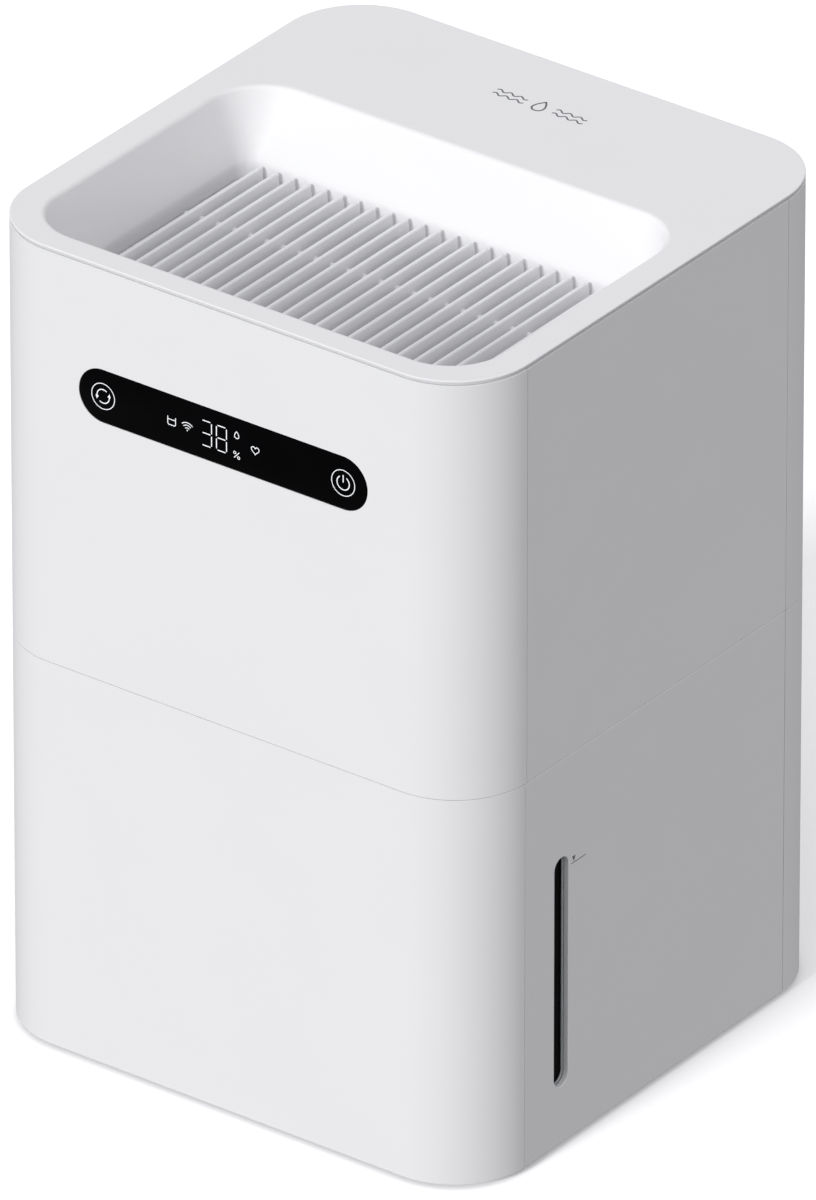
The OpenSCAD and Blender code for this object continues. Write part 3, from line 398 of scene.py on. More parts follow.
# The brim is a curve of the second order through the deck and the wall: (1 - t)^2 A + 2 t (1 - t) E + t^2 B.
brim_curve = [(1 - t) ** 2 * brim_top + 2 * t * (1 - t) * brim + t ** 2 * brim_side for t in np.linspace(0,
                                                                                                         1,
                                                                                                         11)]
foot_depth = top_z - slat_top
foot_round = 1.2 * mm
foot_curve = [(1 - t) ** 2 * basin_loop(foot_depth - foot_round) + 2 * t * (1 - t) * basin_loop(foot_depth)
              + t ** 2 * ledge_loop(0, slat_top - foot_round, 8 * mm) for t in np.linspace(0, 1, 5)]
ledge_z0 = 0.320
ledge_z1 = ledge_z0 + 2 * mm
top_loops = (
    [deck_loop(2.6 * mm, lid_z0), deck_loop(rim_lean + edge_radius, lid_z0),
     deck_loop(rim_lean, lid_z0 + edge_radius)]
    + outer_edge + [deck_loop(edge_round + 0.5 * mm, top_z)]
    + [basin_loop(0, brim_round + 0.5 * mm)] + brim_curve + [basin_loop(brim_round + 0.5 * mm)]
    + [basin_loop(foot_depth - foot_round - 0.5 * mm)] + foot_curve
    + [ledge_loop(0, ledge_z1 + 0.4 * mm, 8 * mm), ledge_loop(0.4 * mm, ledge_z1, 7.6 * mm),
       ledge_loop(5 * mm, ledge_z1, 3 * mm), ledge_loop(5 * mm, ledge_z0, 3 * mm),
       ledge_loop(-2.2 * mm, ledge_z0, 10.2 * mm),
       ledge_loop(-2.2 * mm, slat_top, 10.2 * mm), basin_loop(2 * mm, 2.2 * mm)]
    + [deck_loop(4.6 * mm, lid_z0), deck_loop(4.6 * mm, lid_z0 - 9 * mm),
       deck_loop(2.6 * mm, lid_z0 - 9 * mm)])
top_mesh = new_mesh("top_cover_skin", np.stack(top_loops),
                    grid_faces(len(top_loops), len(top_loops[0]), True, True), white_abs)
new_piece("top_cover_skin", top_mesh, "upper", ["top_cover"])

# ---------------------------------------------------------------------------------------------
# Outlet grille: 24 thin fins in white ABS that run front to back, drafted so that they are thinner at
# their round upper edges, with round ends, on a low frame and two cross ribs. It lifts straight out.
# ---------------------------------------------------------------------------------------------

fin_count, fin_pitch, fin_height = 24, 8 * mm, 9 * mm
fin_top, fin_foot = 1.8 * mm, 3.0 * mm
fin_y0, fin_y1 = grille_low.y + 1.5 * mm, grille_high.y - 1.5 * mm
fin_end_round = 2.0 * mm
fin_z0 = slat_top - fin_height


def fins():
    """Each fin is its section carried from front to rear. The section is a draft wall under a half round,
    and near an end at a distance e it sinks by R - sqrt(R^2 - (R - e)^2), which rounds the corner off by
    R."""
    a = np.radians(np.linspace(0, 180, 9))
    half_round = np.column_stack([np.cos(a), np.sin(a)]) * fin_top / 2 + [0, slat_top - fin_top / 2]
    section = np.concatenate([[[fin_foot / 2, fin_z0]], half_round, [[-fin_foot / 2, fin_z0]]])
    e = fin_end_round * (1 - np.cos(np.radians(np.linspace(0, 90, 7))))
    y = np.concatenate([fin_y0 + e, fin_y1 - e[::-1]])
    gap = np.minimum(y - fin_y0, fin_y1 - y).clip(0, fin_end_round)
    sink = fin_end_round - np.sqrt(fin_end_round ** 2 - (fin_end_round - gap) ** 2)
    x = (np.arange(fin_count) - (fin_count - 1) / 2) * fin_pitch
    points = np.empty((fin_count, len(y), len(section), 3))
    points[..., 0] = x[:, None, None] + section[:, 0]
    points[..., 1] = y[None, :, None]
    points[..., 2] = fin_z0 + (section[:, 1] - fin_z0) * (1 - sink[:, None] / fin_height)
    one = len(y) * len(section)
    faces = grid_faces(len(y), len(section), closed_columns=True)
    faces += [list(range(len(section))), list(range(one - 1, one - len(section) - 1, -1))]
    every_face = [[corner + i * one for corner in face] for i in range(fin_count) for face in faces]
    return points.reshape(-1, 3), every_face


def joined(parts):
    """Several (points, faces) sets as one, with their numbers moved on."""
    points, faces, start = [], [], 0
    for some_points, some_faces in parts:
        some_points = np.asarray(some_points, float).reshape(-1, 3)
        points.append(some_points)
        faces += [[corner + start for corner in face] for face in some_faces]
        start += len(some_points)
    return np.concatenate(points), faces


def bar(low, high):
    """A straight bar with its box given, its upper and lower edges broken by a tenth of its height."""
    c = (high[2] - low[2]) * 0.1
    section = np.array([[low[1] + c, low[2]], [high[1] - c, low[2]], [high[1], low[2] + c],
                        [high[1], high[2] - c],
                        [high[1] - c, high[2]], [low[1] + c, high[2]], [low[1], high[2] - c],
                        [low[1], low[2] + c]])
    points = np.empty((2, 8, 3))
    points[..., 0] = np.array([[low[0]], [high[0]]])
    points[..., 1:] = section
    return points, grid_faces(2, 8, closed_columns=True) + [list(range(8)), list(range(15, 7, -1))]


def grille_frame(z0, z1, width):
    """A low rectangular hoop: its section of four corners goes round inside the ledge."""
    loops = [ledge_loop(0.4 * mm + inset, z, 8 * mm - inset)
             for inset, z in ((0, z0), (0, z1), (width, z1), (width, z0))]
    return np.stack(loops), grid_faces(4, len(loops[0]), True, True)


rib_y1 = fin_y1 - 42 * mm
rib_y2 = fin_y0 + (rib_y1 - fin_y0) / 3
inner_x = grille_high.x - 2 * mm
ribs = [bar((-inner_x, y, grille_low.z), (inner_x, y + 2.6 * mm, slat_top - 4.6 * mm)) for y in (rib_y1,
                                                                                                 rib_y2)]
pegs = [bar(((i - (fin_count - 1) / 2) * fin_pitch - fin_top / 2, y, grille_low.z),
            ((i - (fin_count - 1) / 2) * fin_pitch + fin_top / 2, y + 4.5 * mm, fin_z0 + 1 * mm))
        for i in range(fin_count) for y in (grille_low.y + 0.5 * mm, grille_high.y - 5 * mm)]
# White ABS again, polished a little finer than the covers, so the fins' rounds catch a thin bright line. Its
# colour is painted a shade lighter than the covers' to stand in for the light that would reach down between
# the fins.
white_fins_painted_lighter = moulded_plastic("white_abs_fine_painted_lighter", "#ECECEE", "#E8E8EA", 0.46, texture=0.04, gloss=0.25)
grille_points, grille_faces = joined([fins(),
                                      grille_frame(grille_low.z, grille_low.z + 4 * mm,
                                                   2.4 * mm)] + ribs + pegs)
new_piece("outlet_grille_fins", new_mesh("outlet_grille_fins", grille_points, grille_faces, white_fins_painted_lighter),
          "grille",
          ["outlet_grille"])

# ---------------------------------------------------------------------------------------------
# Display: a black acrylic lens, printed black behind, glued flush into the front cover. The marks
# shine through it: two ringed touch keys, a cup, a radio sign, two seven-bar figures, a drop, a per
# cent sign and a heart. All of them are thin strokes of white light.
# ---------------------------------------------------------------------------------------------

# Black acrylic, cast and polished: deep black, with a clear reflection of the pale room at a low angle only.
black_acrylic = empty_material("black_cast_acrylic")
lens_place = add_node(black_acrylic, "ShaderNodeTexCoord").outputs["Object"]
lens_haze = add_node(black_acrylic, "ShaderNodeTexNoise",
                     {"Vector": lens_place, "Scale": 60.0, "Detail": 2.0})
lens_tone = add_node(black_acrylic, "ShaderNodeMix",
                     {"Factor": lens_haze.outputs["Fac"], "A": linear("#020203"), "B": linear("#040405")},
                     data_type="RGBA")
lens_gloss = add_node(black_acrylic, "ShaderNodeMapRange",
                      {"Value": lens_haze.outputs["Fac"], "To Min": 0.16, "To Max": 0.22})
lens_face = add_node(black_acrylic, "ShaderNodeBsdfPrincipled",
                     {"Base Color": lens_tone.outputs["Result"], "Roughness": lens_gloss.outputs["Result"],
                      "IOR": 1.49,
                      "Specular IOR Level": 0.06})
add_node(black_acrylic, "ShaderNodeOutputMaterial", {"Surface": lens_face.outputs[0]})


def lens_loop(grow, y):
    """The display's outline, larger by grow on every side, as one upright loop at y."""
    outline = stadium(display_w + 2 * grow, display_h + 2 * grow, 40)
    return np.column_stack([outline[:, 0], np.full(len(outline), y), outline[:, 1] + display_z])


lens_front = lens_low.y
lens_flange = lens_high.y - 1.4 * mm
lens_loops = [lens_loop(-0.25 * mm, lens_front), lens_loop(-0.07 * mm, lens_front + 0.07 * mm),
              lens_loop(0, lens_front + 0.25 * mm), lens_loop(0, lens_flange), lens_loop(3 * mm, lens_flange),
              lens_loop(3 * mm, lens_high.y)]
ring_size = len(lens_loops[0])
lens_faces = grid_faces(len(lens_loops), ring_size, closed_columns=True)
lens_faces += [list(range(ring_size)), list(range(len(lens_loops) * ring_size - 1,
                                                  (len(lens_loops) - 1) * ring_size - 1, -1))]
new_piece("display_lens_acrylic", new_mesh("display_lens_acrylic", np.stack(lens_loops), lens_faces,
                                           black_acrylic),
          "upper", ["display_lens"])


def stroke(line_points, width, closed=False, depth=0.04 * mm):
    """A printed stroke: a flat bar of that width and depth carried along a flat line, mitred at each
    point. The mitre at a point is the mean of its two sideways directions m, made longer by 1 / m.m."""
    p = np.asarray(line_points, float) * mm
    step = np.roll(p, -1, 0) - p if closed else np.diff(p, axis=0)
    side = np.column_stack([-step[:, 1], step[:, 0]]) / np.linalg.norm(step, axis=1)[:, None]
    before = np.roll(side, 1, 0) if closed else np.vstack([side[:1], side])
    after = side if closed else np.vstack([side, side[-1:]])
    mean = (before + after) / 2
    mitre = mean / np.maximum((mean ** 2).sum(1), 0.2)[:, None] * width * mm / 2
    points = np.empty((len(p), 4, 3))
    for corner, place in enumerate((p - mitre, p + mitre, p + mitre, p - mitre)):
        points[:, corner, :2] = place
    points[..., 2] = np.array([0, 0, depth, depth])
    faces = grid_faces(len(p), 4, closed_rows=closed, closed_columns=True)
    if not closed:
        faces += [[0, 1, 2, 3], [4 * len(p) - i for i in (1, 2, 3, 4)]]
    return points.reshape(-1, 3), faces


def arc_line(x, z, radius, start_deg, end_deg, count=28):
    """Points of an arc about (x, z), spaced evenly by angle."""
    a = np.radians(np.linspace(start_deg, end_deg, count))
    return np.column_stack([x + radius * np.cos(a), z + radius * np.sin(a)])


def heart_line(x, z, size):
    """The heart curve x = 16 sin^3 t, z = 13 cos t - 5 cos 2t - 2 cos 3t - cos 4t, scaled to that size."""
    t = np.linspace(0, 2 * np.pi, 41)[:-1]
    heart = np.column_stack([16 * np.sin(t) ** 3,
                             13 * np.cos(t) - 5 * np.cos(2 * t) - 2 * np.cos(3 * t) - np.cos(4 * t)])
    return heart * size / 32 + [x, z]


def drop_line(x, z, width, height):
    """A water drop: half the width times sin t sin(t / 2) across, half the height times cos t up."""
    t = np.linspace(0, 2 * np.pi, 33)[:-1]
    return np.column_stack([x + width * 0.65 * np.sin(t) * np.sin(t / 2), z + height / 2 * np.cos(t)])


def figure(left, bars):
    """A seven-bar figure 4.9 mm wide and 11 mm high. Bars: a top, b and c right, d foot, e and f left, g
    middle."""
    x0, x1, z0, z1, g = left, left + 4.9, -5.5, 5.5, 0.55
    ends = {"a": ((x0 + g, z1), (x1 - g, z1)), "g": ((x0 + g, 0), (x1 - g, 0)),
            "d": ((x0 + g, z0), (x1 - g, z0)),
            "b": ((x1, z1 - g), (x1, g)), "c": ((x1, -g), (x1, z0 + g)),
            "f": ((x0, z1 - g), (x0, g)), "e": ((x0, -g), (x0, z0 + g))}
    return [stroke(ends[bar_name], 0.42) for bar_name in bars]


def arrow_head(x, z, along_deg, size):
    """A closed triangle that points along an angle."""
    a = np.radians(along_deg + np.array([0, 130, 230]))
    corners = np.column_stack([x + size * np.cos(a), z + size * np.sin(a)]) * mm
    points = np.concatenate([np.column_stack([corners, np.zeros(3)]),
                             np.column_stack([corners, np.full(3, 0.04 * mm)])])
    return points, grid_faces(2, 3, closed_columns=True) + [[0, 1, 2], [5, 4, 3]]


key_x = 58.6
touch_marks = [stroke(arc_line(x, 0, 5.6, 0, 360, 65)[:-1], 0.32, True) for x in (-key_x, key_x)]
touch_marks += [stroke(arc_line(-key_x, 0, 3.0, 55, 190), 0.42),
                stroke(arc_line(-key_x, 0, 3.0, 235, 370), 0.42),
                arrow_head(-key_x - 3.0, -0.9, 262, 1.0), arrow_head(-key_x + 3.0, 0.9, 82, 1.0)]
touch_marks += [stroke(arc_line(key_x, 0, 3.0, 122, 418), 0.42), stroke([(key_x, 3.5), (key_x, 0.2)], 0.42)]
cup = [stroke([(-26.9, 1.9), (-26.9, -1.3), (-26.5, -1.8), (-23.6, -1.8), (-23.1, -1.3), (-23.1, 1.9)], 0.34),
       stroke([(-26.9, 0.6), (-23.1, 0.6)], 0.34)]
radio = [stroke(arc_line(-17.4, -1.9, r, 45, 135, 14), 0.34) for r in (1.35, 2.5, 3.65)] + [arrow_head(-17.4,
                                                                                                       -1.7,
                                                                                                       270,
                                                                                                       0.45)]
figures = figure(-10.4, "abgcd") + figure(-3.1, "abcdefg")
unit = [stroke(drop_line(6.8, 4.2, 2.1, 3.0), 0.35, True), stroke([(5.5, -6.1), (8.0, -3.3)], 0.35),
        stroke(arc_line(5.8, -3.8, 0.55, 0, 360, 13)[:-1], 0.3, True),
        stroke(arc_line(7.7, -5.7, 0.55, 0, 360, 13)[:-1], 0.3, True)]
heart = [stroke(heart_line(15.8, 0.3, 3.8), 0.34, True)]
mark_points, mark_faces = joined(touch_marks + cup + radio + figures + unit + heart)
mark_points = np.column_stack([mark_points[:, 0], lens_front - mark_points[:, 2],
                               mark_points[:, 1] + display_z])

# Light through a white mask: an even glow, a touch weaker where the light guide is further from its lamp.
lit_mark = empty_material("white_light_through_mask")
mark_place = add_node(lit_mark, "ShaderNodeTexCoord").outputs["Object"]
mark_spread = add_node(lit_mark, "ShaderNodeTexNoise", {"Vector": mark_place, "Scale": 400.0, "Detail": 1.0})
mark_power = add_node(lit_mark, "ShaderNodeMapRange",
                      {"Value": mark_spread.outputs["Fac"], "To Min": 0.3, "To Max": 0.5})
mark_face = add_node(lit_mark, "ShaderNodeBsdfPrincipled",
                     {"Base Color": linear("#D8DADD"), "Roughness": 0.6, "Emission Color": linear("#F2F4F8"),
                      "Emission Strength": mark_power.outputs["Result"]})
add_node(lit_mark, "ShaderNodeOutputMaterial", {"Surface": mark_face.outputs[0]})
new_piece("display_marks", new_mesh("display_marks", mark_points, mark_faces, lit_mark), "upper")

# ---------------------------------------------------------------------------------------------
# Pad-printed marks in grey ink: a drop between two runs of waves on the rear deck, which shows where
# water is poured in, and a small triangle over a line beside the level slot for the highest level.
# ---------------------------------------------------------------------------------------------

# Pad-printing ink: a dark grey film a few hundredths of a millimetre thick, matter than the plastic under it.
grey_ink = moulded_plastic("grey_pad_print_ink", "#5E5F63", "#6A6B6F", 0.6, grain_mm=0.2, texture=0.1)
wave_x = np.linspace(0, 15, 46)
waves = [stroke(np.column_stack([start + wave_x, z + 0.75 * np.sin(wave_x * 2 * np.pi / 5)]), 0.7)
         for start in (-22, 7) for z in (-1.6, 1.6)]
deck_mark_points, deck_mark_faces = joined(waves + [stroke(drop_line(0, 0.2, 5.2, 8.0), 0.8, True)])
deck_mark_points = np.column_stack([deck_mark_points[:, 0], deck_mark_points[:, 1] + 0.087,
                                    deck_mark_points[:, 2] + top_z - 0.01 * mm])
new_piece("deck_fill_mark", new_mesh("deck_fill_mark", deck_mark_points, deck_mark_faces, grey_ink), "upper")
level_points, level_faces = joined([stroke([(6.2, 46.2), (15.8, 46.2)], 0.35),
                                    arrow_head(8.0, 48.2, 270, 1.5)])
level_points = np.column_stack([body_x - 0.01 * mm + level_points[:, 2], level_points[:, 0] + slot_y,
                                level_points[:, 1] + slot_z])
new_piece("highest_level_mark", new_mesh("highest_level_mark", level_points, level_faces, grey_ink), "tank")

# ---------------------------------------------------------------------------------------------
# Level window and its seal: a smoked black acrylic block that fills the slot from inside the tank, held
# by a flange on a rubber gasket. Only its face shows, deep in the slot.
# ---------------------------------------------------------------------------------------------


def dressed(material, *nodes):
    """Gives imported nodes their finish. Their meshes stay as they are."""
    for node in nodes:
        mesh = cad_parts[node].data
        for place in range(len(mesh.materials)):
            mesh.materials[place] = material


def moulded_rubber(name, colour, shade):
    """Compression-moulded rubber: a dull, dark face with a bloom of lighter patches and a fine leathery
    grain."""
    made = empty_material(name)
    place = add_node(made, "ShaderNodeTexCoord").outputs["Object"]
    bloom = add_node(made, "ShaderNodeTexNoise",
                     {"Vector": place, "Scale": 90.0, "Detail": 4.0}).outputs["Fac"]
    grain = add_node(made, "ShaderNodeTexVoronoi",
                     {"Vector": place, "Scale": 1 / (0.6 * mm)}).outputs["Distance"]
    tone = add_node(made, "ShaderNodeMix", {"Factor": bloom, "A": linear(colour), "B": linear(shade)},
                    data_type="RGBA")
    relief = add_node(made, "ShaderNodeBump", {"Height": grain, "Strength": 0.25, "Distance": 0.1 * mm})
    face = add_node(made, "ShaderNodeBsdfPrincipled",
                    {"Base Color": tone.outputs["Result"], "Roughness": 0.78,
                     "Normal": relief.outputs["Normal"],
                     "IOR": 1.52})
    add_node(made, "ShaderNodeOutputMaterial", {"Surface": face.outputs[0]})
    return made


# EPDM rubber: nearly black, dull, a little grey from its bloom.
epdm_rubber = moulded_rubber("epdm_rubber_moulded", "#1B1B1D", "#2A2A2C")
dressed(black_acrylic, "level_window")
dressed(epdm_rubber, "window_seal", "body_seal", "shaft_seal")

# ---------------------------------------------------------------------------------------------
# Feet, base plate and base screws: a grey polypropylene plate closes the tank's underside, and four
# rubber rings stand under its screws. The screws are pan heads with a cross recess.
# ---------------------------------------------------------------------------------------------


def turned(profile, centre, axis, segments=64):
    """Turns a closed profile of (radius, along) pairs about an axis: one side is radius cos a, the other
    radius sin a."""
    a = np.linspace(0, 2 * np.pi, segments, endpoint=False)[:, None]
    profile = np.asarray(profile, float)
    points = np.empty((segments, len(profile), 3))
    first, second = [i for i in (0, 1, 2) if i != axis]
    points[..., first] = centre[first] + profile[:, 0] * np.cos(a)
    points[..., second] = centre[second] + profile[:, 0] * np.sin(a)
    points[..., axis] = centre[axis] + profile[:, 1]
    return points.reshape(-1, 3), grid_faces(segments, len(profile), True, True)


def rounded_corner(radius, along, r, start_deg, steps=5):
    """A quarter circle of radius r about a point of a profile, from start_deg on, turning left."""
    a = np.radians(np.linspace(start_deg, start_deg + 90, steps))
    return np.column_stack([radius + r * np.cos(a), along + r * np.sin(a)])


def softened_copy(node, body, material, radius, steps=2):
    """A node's own shape as one closed skin, its corners merged and its flat faces made whole, with its
    edges broken by a radius."""
    work = bmesh.new()
    work.from_mesh(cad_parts[node].data)
    bmesh.ops.remove_doubles(work, verts=work.verts, dist=0.005 * mm)
    bmesh.ops.dissolve_limit(work, angle_limit=math.radians(0.5), verts=work.verts, edges=work.edges)
    mesh = bpy.data.meshes.new(node + "_skin")
    work.to_mesh(mesh)
    work.free()
    mesh.shade_smooth()
    mesh.set_sharp_from_angle(angle=math.radians(35))
    mesh.materials.clear()
    mesh.materials.append(material)
    return broken_edges(new_piece(node + "_skin", mesh, body, [node]), radius, steps)


def feet_and_screws():
    """The profiles of a rubber foot and of its screw, turned about each of the four corner posts."""
    low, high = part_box("feet")
    centre_x, centre_y = high.x - 9 * mm, high.y - 9 * mm
    rings, heads = [], []
    outer, inner, top, r = 9 * mm, 4.4 * mm, high.z, 1.1 * mm
    foot = np.concatenate([rounded_corner(outer - r, r, r, -90), [[outer - 0.3 * mm, top]], [[inner, top]],
                           rounded_corner(inner + r * 0.6, r * 0.6, r * 0.6, 180)])
    head_top = top - 2 * mm
    dome = np.radians(np.linspace(0, 90, 7))
    head = np.concatenate([[[0, top], [3.2 * mm, top]],
                           np.column_stack([3.2 * mm * np.cos(dome) ** 0.6,
                                            top - 0.8 * mm - 1.2 * mm * np.sin(dome)])])
    for sx in (-1, 1):
        for sy in (-1, 1):
            centre = (sx * centre_x, sy * centre_y, 0)
            rings.append(turned(foot, centre, 2))
            heads.append(turned(head, centre, 2, 40))
    return rings, heads, centre_x, centre_y, head_top


def cross_cutters(centres, z, size, depth):
    """The cross recess of each screw: a plus of twelve corners with arms a quarter as wide as they are
    long, sunk from z by depth, which is negative for a screw that is driven from above."""
    w, cross = size * 0.24, []
    for turn in range(4):
        c, t = round(math.cos(turn * math.pi / 2)), round(math.sin(turn * math.pi / 2))
        cross += [(c * x - t * y, t * x + c * y) for x, y in ((size, -w), (size, w), (w, w))]
    solids = []
    for centre in centres:
        points = np.empty((2, len(cross), 3))
        points[..., :2] = np.array(cross) + centre
        points[..., 2] = np.array([[z], [z + depth]])
        solids.append((points, grid_faces(2, len(cross), closed_columns=True)
                       + [list(range(len(cross))), list(range(2 * len(cross) - 1, len(cross) - 1, -1))]))
    return solids


rings, heads, boss_x, boss_y, head_top = feet_and_screws()
boss_centres = [(sx * boss_x, sy * boss_y) for sx in (-1, 1) for sy in (-1, 1)]
new_piece("rubber_feet", new_mesh("rubber_feet", *joined(rings), epdm_rubber), "tank", ["feet"])


def plated_steel(name, colour, shade, roughness, scratch_mm=0.5):
    """Bright zinc-plated steel: a metal face whose gloss varies in fine streaks, with a faint cloudy
    tone."""
    made = empty_material(name)
    place = add_node(made, "ShaderNodeTexCoord").outputs["Object"]
    streak_place = add_node(made, "ShaderNodeMapping",
                            {"Vector": place, "Scale": (1.0, 1.0, 0.08)}).outputs["Vector"]
    streak = add_node(made, "ShaderNodeTexNoise",
                      {"Vector": streak_place, "Scale": 1 / (scratch_mm * mm), "Detail": 2.0}).outputs["Fac"]
    cloud = add_node(made, "ShaderNodeTexNoise", {"Vector": place, "Scale": 120.0}).outputs["Fac"]
    tone = add_node(made, "ShaderNodeMix", {"Factor": cloud, "A": linear(colour), "B": linear(shade)},
                    data_type="RGBA")
    gloss = add_node(made, "ShaderNodeMapRange",
                     {"Value": streak, "To Min": roughness - 0.08, "To Max": roughness + 0.1})
    relief = add_node(made, "ShaderNodeBump", {"Height": streak, "Strength": 0.1, "Distance": 0.02 * mm})
    face = add_node(made, "ShaderNodeBsdfPrincipled",
                    {"Base Color": tone.outputs["Result"], "Metallic": 1.0,
                     "Roughness": gloss.outputs["Result"],
                     "Normal": relief.outputs["Normal"]})
    add_node(made, "ShaderNodeOutputMaterial", {"Surface": face.outputs[0]})
    return made


zinc_steel = plated_steel("zinc_plated_steel", "#C4C7CB", "#AFB3B8", 0.32)
ground_steel = plated_steel("ground_stainless_steel", "#C9CACC", "#BEBFC2", 0.24, 0.3)
base_heads = new_piece("base_screw_heads", new_mesh("base_screw_heads", *joined(heads), zinc_steel), "tank",
                       ["base_screws"])
recess = new_mesh("base_recess", *joined(cross_cutters(boss_centres, head_top - 0.1 * mm, 1.7 * mm,
                                                       1.3 * mm)),
                  zinc_steel)
cut(base_heads, [recess])
# Grey polypropylene: a waxier sheen than the covers, with a coarser mould texture.
grey_polypropylene = moulded_plastic("grey_polypropylene_textured", "#8E9095", "#85878C", 0.5, grain_mm=0.6,
                                     texture=0.2)
softened_copy("base_plate", "tank", grey_polypropylene, 0.5 * mm)

# ---------------------------------------------------------------------------------------------
# Reservoir, bearings and float guide: a milky polypropylene tub, and pale acetal bearing pillars
# with open seats, so that the wheel lifts out for cleaning.
# ---------------------------------------------------------------------------------------------

# Natural polypropylene: milky, waxy, its thin rim lets a little light through.
milky_polypropylene = moulded_plastic("milky_polypropylene", "#D6DADD", "#CDD2D6", 0.34, grain_mm=0.8,
                                      texture=0.08)
# Natural acetal: dense cream white with a slippery sheen.
natural_acetal = moulded_plastic("natural_acetal", "#D2D2CE", "#CBCBC6", 0.3, grain_mm=0.5, texture=0.05)
softened_copy("tank_reservoir", "tank", milky_polypropylene, 0.35 * mm)
for pillar in ("left_bearing", "right_bearing"):
    softened_copy(pillar, "tank", natural_acetal, 0.5 * mm)
softened_copy("float_guide", "tank", natural_acetal, 0.3 * mm)

# ---------------------------------------------------------------------------------------------
# Float: a ring of closed-cell foam that slides on the guide post, with a ferrite ring magnet let into
# its top for the level sensor.
# ---------------------------------------------------------------------------------------------

# Expanded polyethylene foam: white cells of about a millimetre that show as a fine pebbled face.
white_foam = empty_material("expanded_polyethylene_foam")
foam_place = add_node(white_foam, "ShaderNodeTexCoord").outputs["Object"]
foam_cell = add_node(white_foam, "ShaderNodeTexVoronoi", {"Vector": foam_place, "Scale": 1 / (1.1 * mm)})
foam_tone = add_node(white_foam, "ShaderNodeMix",
                     {"Factor": foam_cell.outputs["Distance"], "A": linear("#EFEFED"),
                                                    "B": linear("#D3D3D0")}, data_type="RGBA")
foam_relief = add_node(white_foam, "ShaderNodeBump",
                       {"Height": foam_cell.outputs["Distance"], "Strength": 0.6,
                                                      "Distance": 0.3 * mm})
foam_face = add_node(white_foam, "ShaderNodeBsdfPrincipled",
                     {"Base Color": foam_tone.outputs["Result"], "Roughness": 0.85,
                                                              "Normal": foam_relief.outputs["Normal"]})
add_node(white_foam, "ShaderNodeOutputMaterial", {"Surface": foam_face.outputs[0]})
float_low, float_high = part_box("float")
float_centre = ((float_low.x + float_high.x) / 2, (float_low.y + float_high.y) / 2, 0)
float_z0, float_z1 = float_low.z, float_high.z
float_profile = np.concatenate([
    [[3.4 * mm, float_z0]], rounded_corner(9.5 * mm, float_z0 + 1.5 * mm, 1.5 * mm, -90),
    rounded_corner(9.5 * mm, float_z1 - 1.5 * mm, 1.5 * mm, 0),
    [[7.1 * mm, float_z1], [7.1 * mm, float_z1 - 3.1 * mm], [3.4 * mm, float_z1 - 3.1 * mm]]])
new_piece("foam_float", new_mesh("foam_float", *turned(float_profile, float_centre, 2, 72), white_foam),
          "float",
          ["float"])
# Sintered ferrite: charcoal grey, dry and slightly sparkling, like a fired ceramic.
ferrite = moulded_plastic("sintered_ferrite", "#37373A", "#454548", 0.55, grain_mm=0.25, texture=0.3)
dressed(ferrite, "float_magnet")

# ---------------------------------------------------------------------------------------------
# Evaporation wheel: 29 thin polypropylene discs stand side by side on a steel shaft, each with a beaded
# rim and low rings that carry the water up. Spacers, two spoked plates and six tie rods clamp them.
# ---------------------------------------------------------------------------------------------

# Blue-grey polypropylene, etched so that water clings to it: dull, with dimples about 2 mm apart.
etched_polypropylene = empty_material("etched_polypropylene")
disc_place = add_node(etched_polypropylene, "ShaderNodeTexCoord").outputs["Object"]
disc_dimple = add_node(etched_polypropylene, "ShaderNodeTexVoronoi",
                       {"Vector": disc_place, "Scale": 1 / (2.2 * mm)},
                       feature="SMOOTH_F1")
disc_cloud = add_node(etched_polypropylene, "ShaderNodeTexNoise",
                      {"Vector": disc_place, "Scale": 45.0, "Detail": 4.0})
disc_tone = add_node(etched_polypropylene, "ShaderNodeMix",
                     {"Factor": disc_cloud.outputs["Fac"], "A": linear("#5C6570"),
                                                              "B": linear("#6B7480")}, data_type="RGBA")
disc_relief = add_node(etched_polypropylene, "ShaderNodeBump", {"Height": disc_dimple.outputs["Distance"],
                                                                "Strength": 0.35, "Distance": 0.3 * mm})
disc_face = add_node(etched_polypropylene, "ShaderNodeBsdfPrincipled",
                     {"Base Color": disc_tone.outputs["Result"], "Roughness": 0.55,
                      "Normal": disc_relief.outputs["Normal"], "IOR": 1.49})
add_node(etched_polypropylene, "ShaderNodeOutputMaterial", {"Surface": disc_face.outputs[0]})

disc_low, disc_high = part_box("evaporation_discs")
wheel_centre = (0, 0, (disc_low.z + disc_high.z) / 2)
disc_radius = (disc_high.z - disc_low.z) / 2
disc_count, disc_thick = 29, 1 * mm
disc_step = (disc_high.x - disc_low.x - disc_thick) / (disc_count - 1)
# Half section of a disc: flat 0.8 mm web, rings 0.25 mm proud every 16 mm, a bead 1.0 mm thick at the rim.
web_r = np.concatenate([[5.1 * mm, 10 * mm],
                        (np.arange(22, 83, 10)[:, None] + np.array([-1.5, 0, 1.5])).ravel() * mm,
                        [disc_radius - 2.2 * mm, disc_radius - 1.4 * mm, disc_radius - 0.3 * mm,
                         disc_radius]])
web_x = np.concatenate([[0.5 * mm, 0.5 * mm], np.tile([0.3, 0.48, 0.3], 7) * mm,
                        [0.3 * mm, 0.5 * mm, 0.5 * mm, 0.3 * mm]])
disc_section = np.concatenate([np.column_stack([web_r, web_x]), np.column_stack([web_r[::-1], -web_x[::-1]])])
one_disc, one_disc_faces = turned(disc_section, wheel_centre, 0, 72)
disc_x = disc_low.x + disc_thick / 2 + np.arange(disc_count) * disc_step
new_piece("evaporation_disc_stack",
          new_mesh("evaporation_disc_stack",
                   *joined([(one_disc + [x, 0, 0], one_disc_faces) for x in disc_x]),
                   etched_polypropylene), "wheel", ["evaporation_discs"])
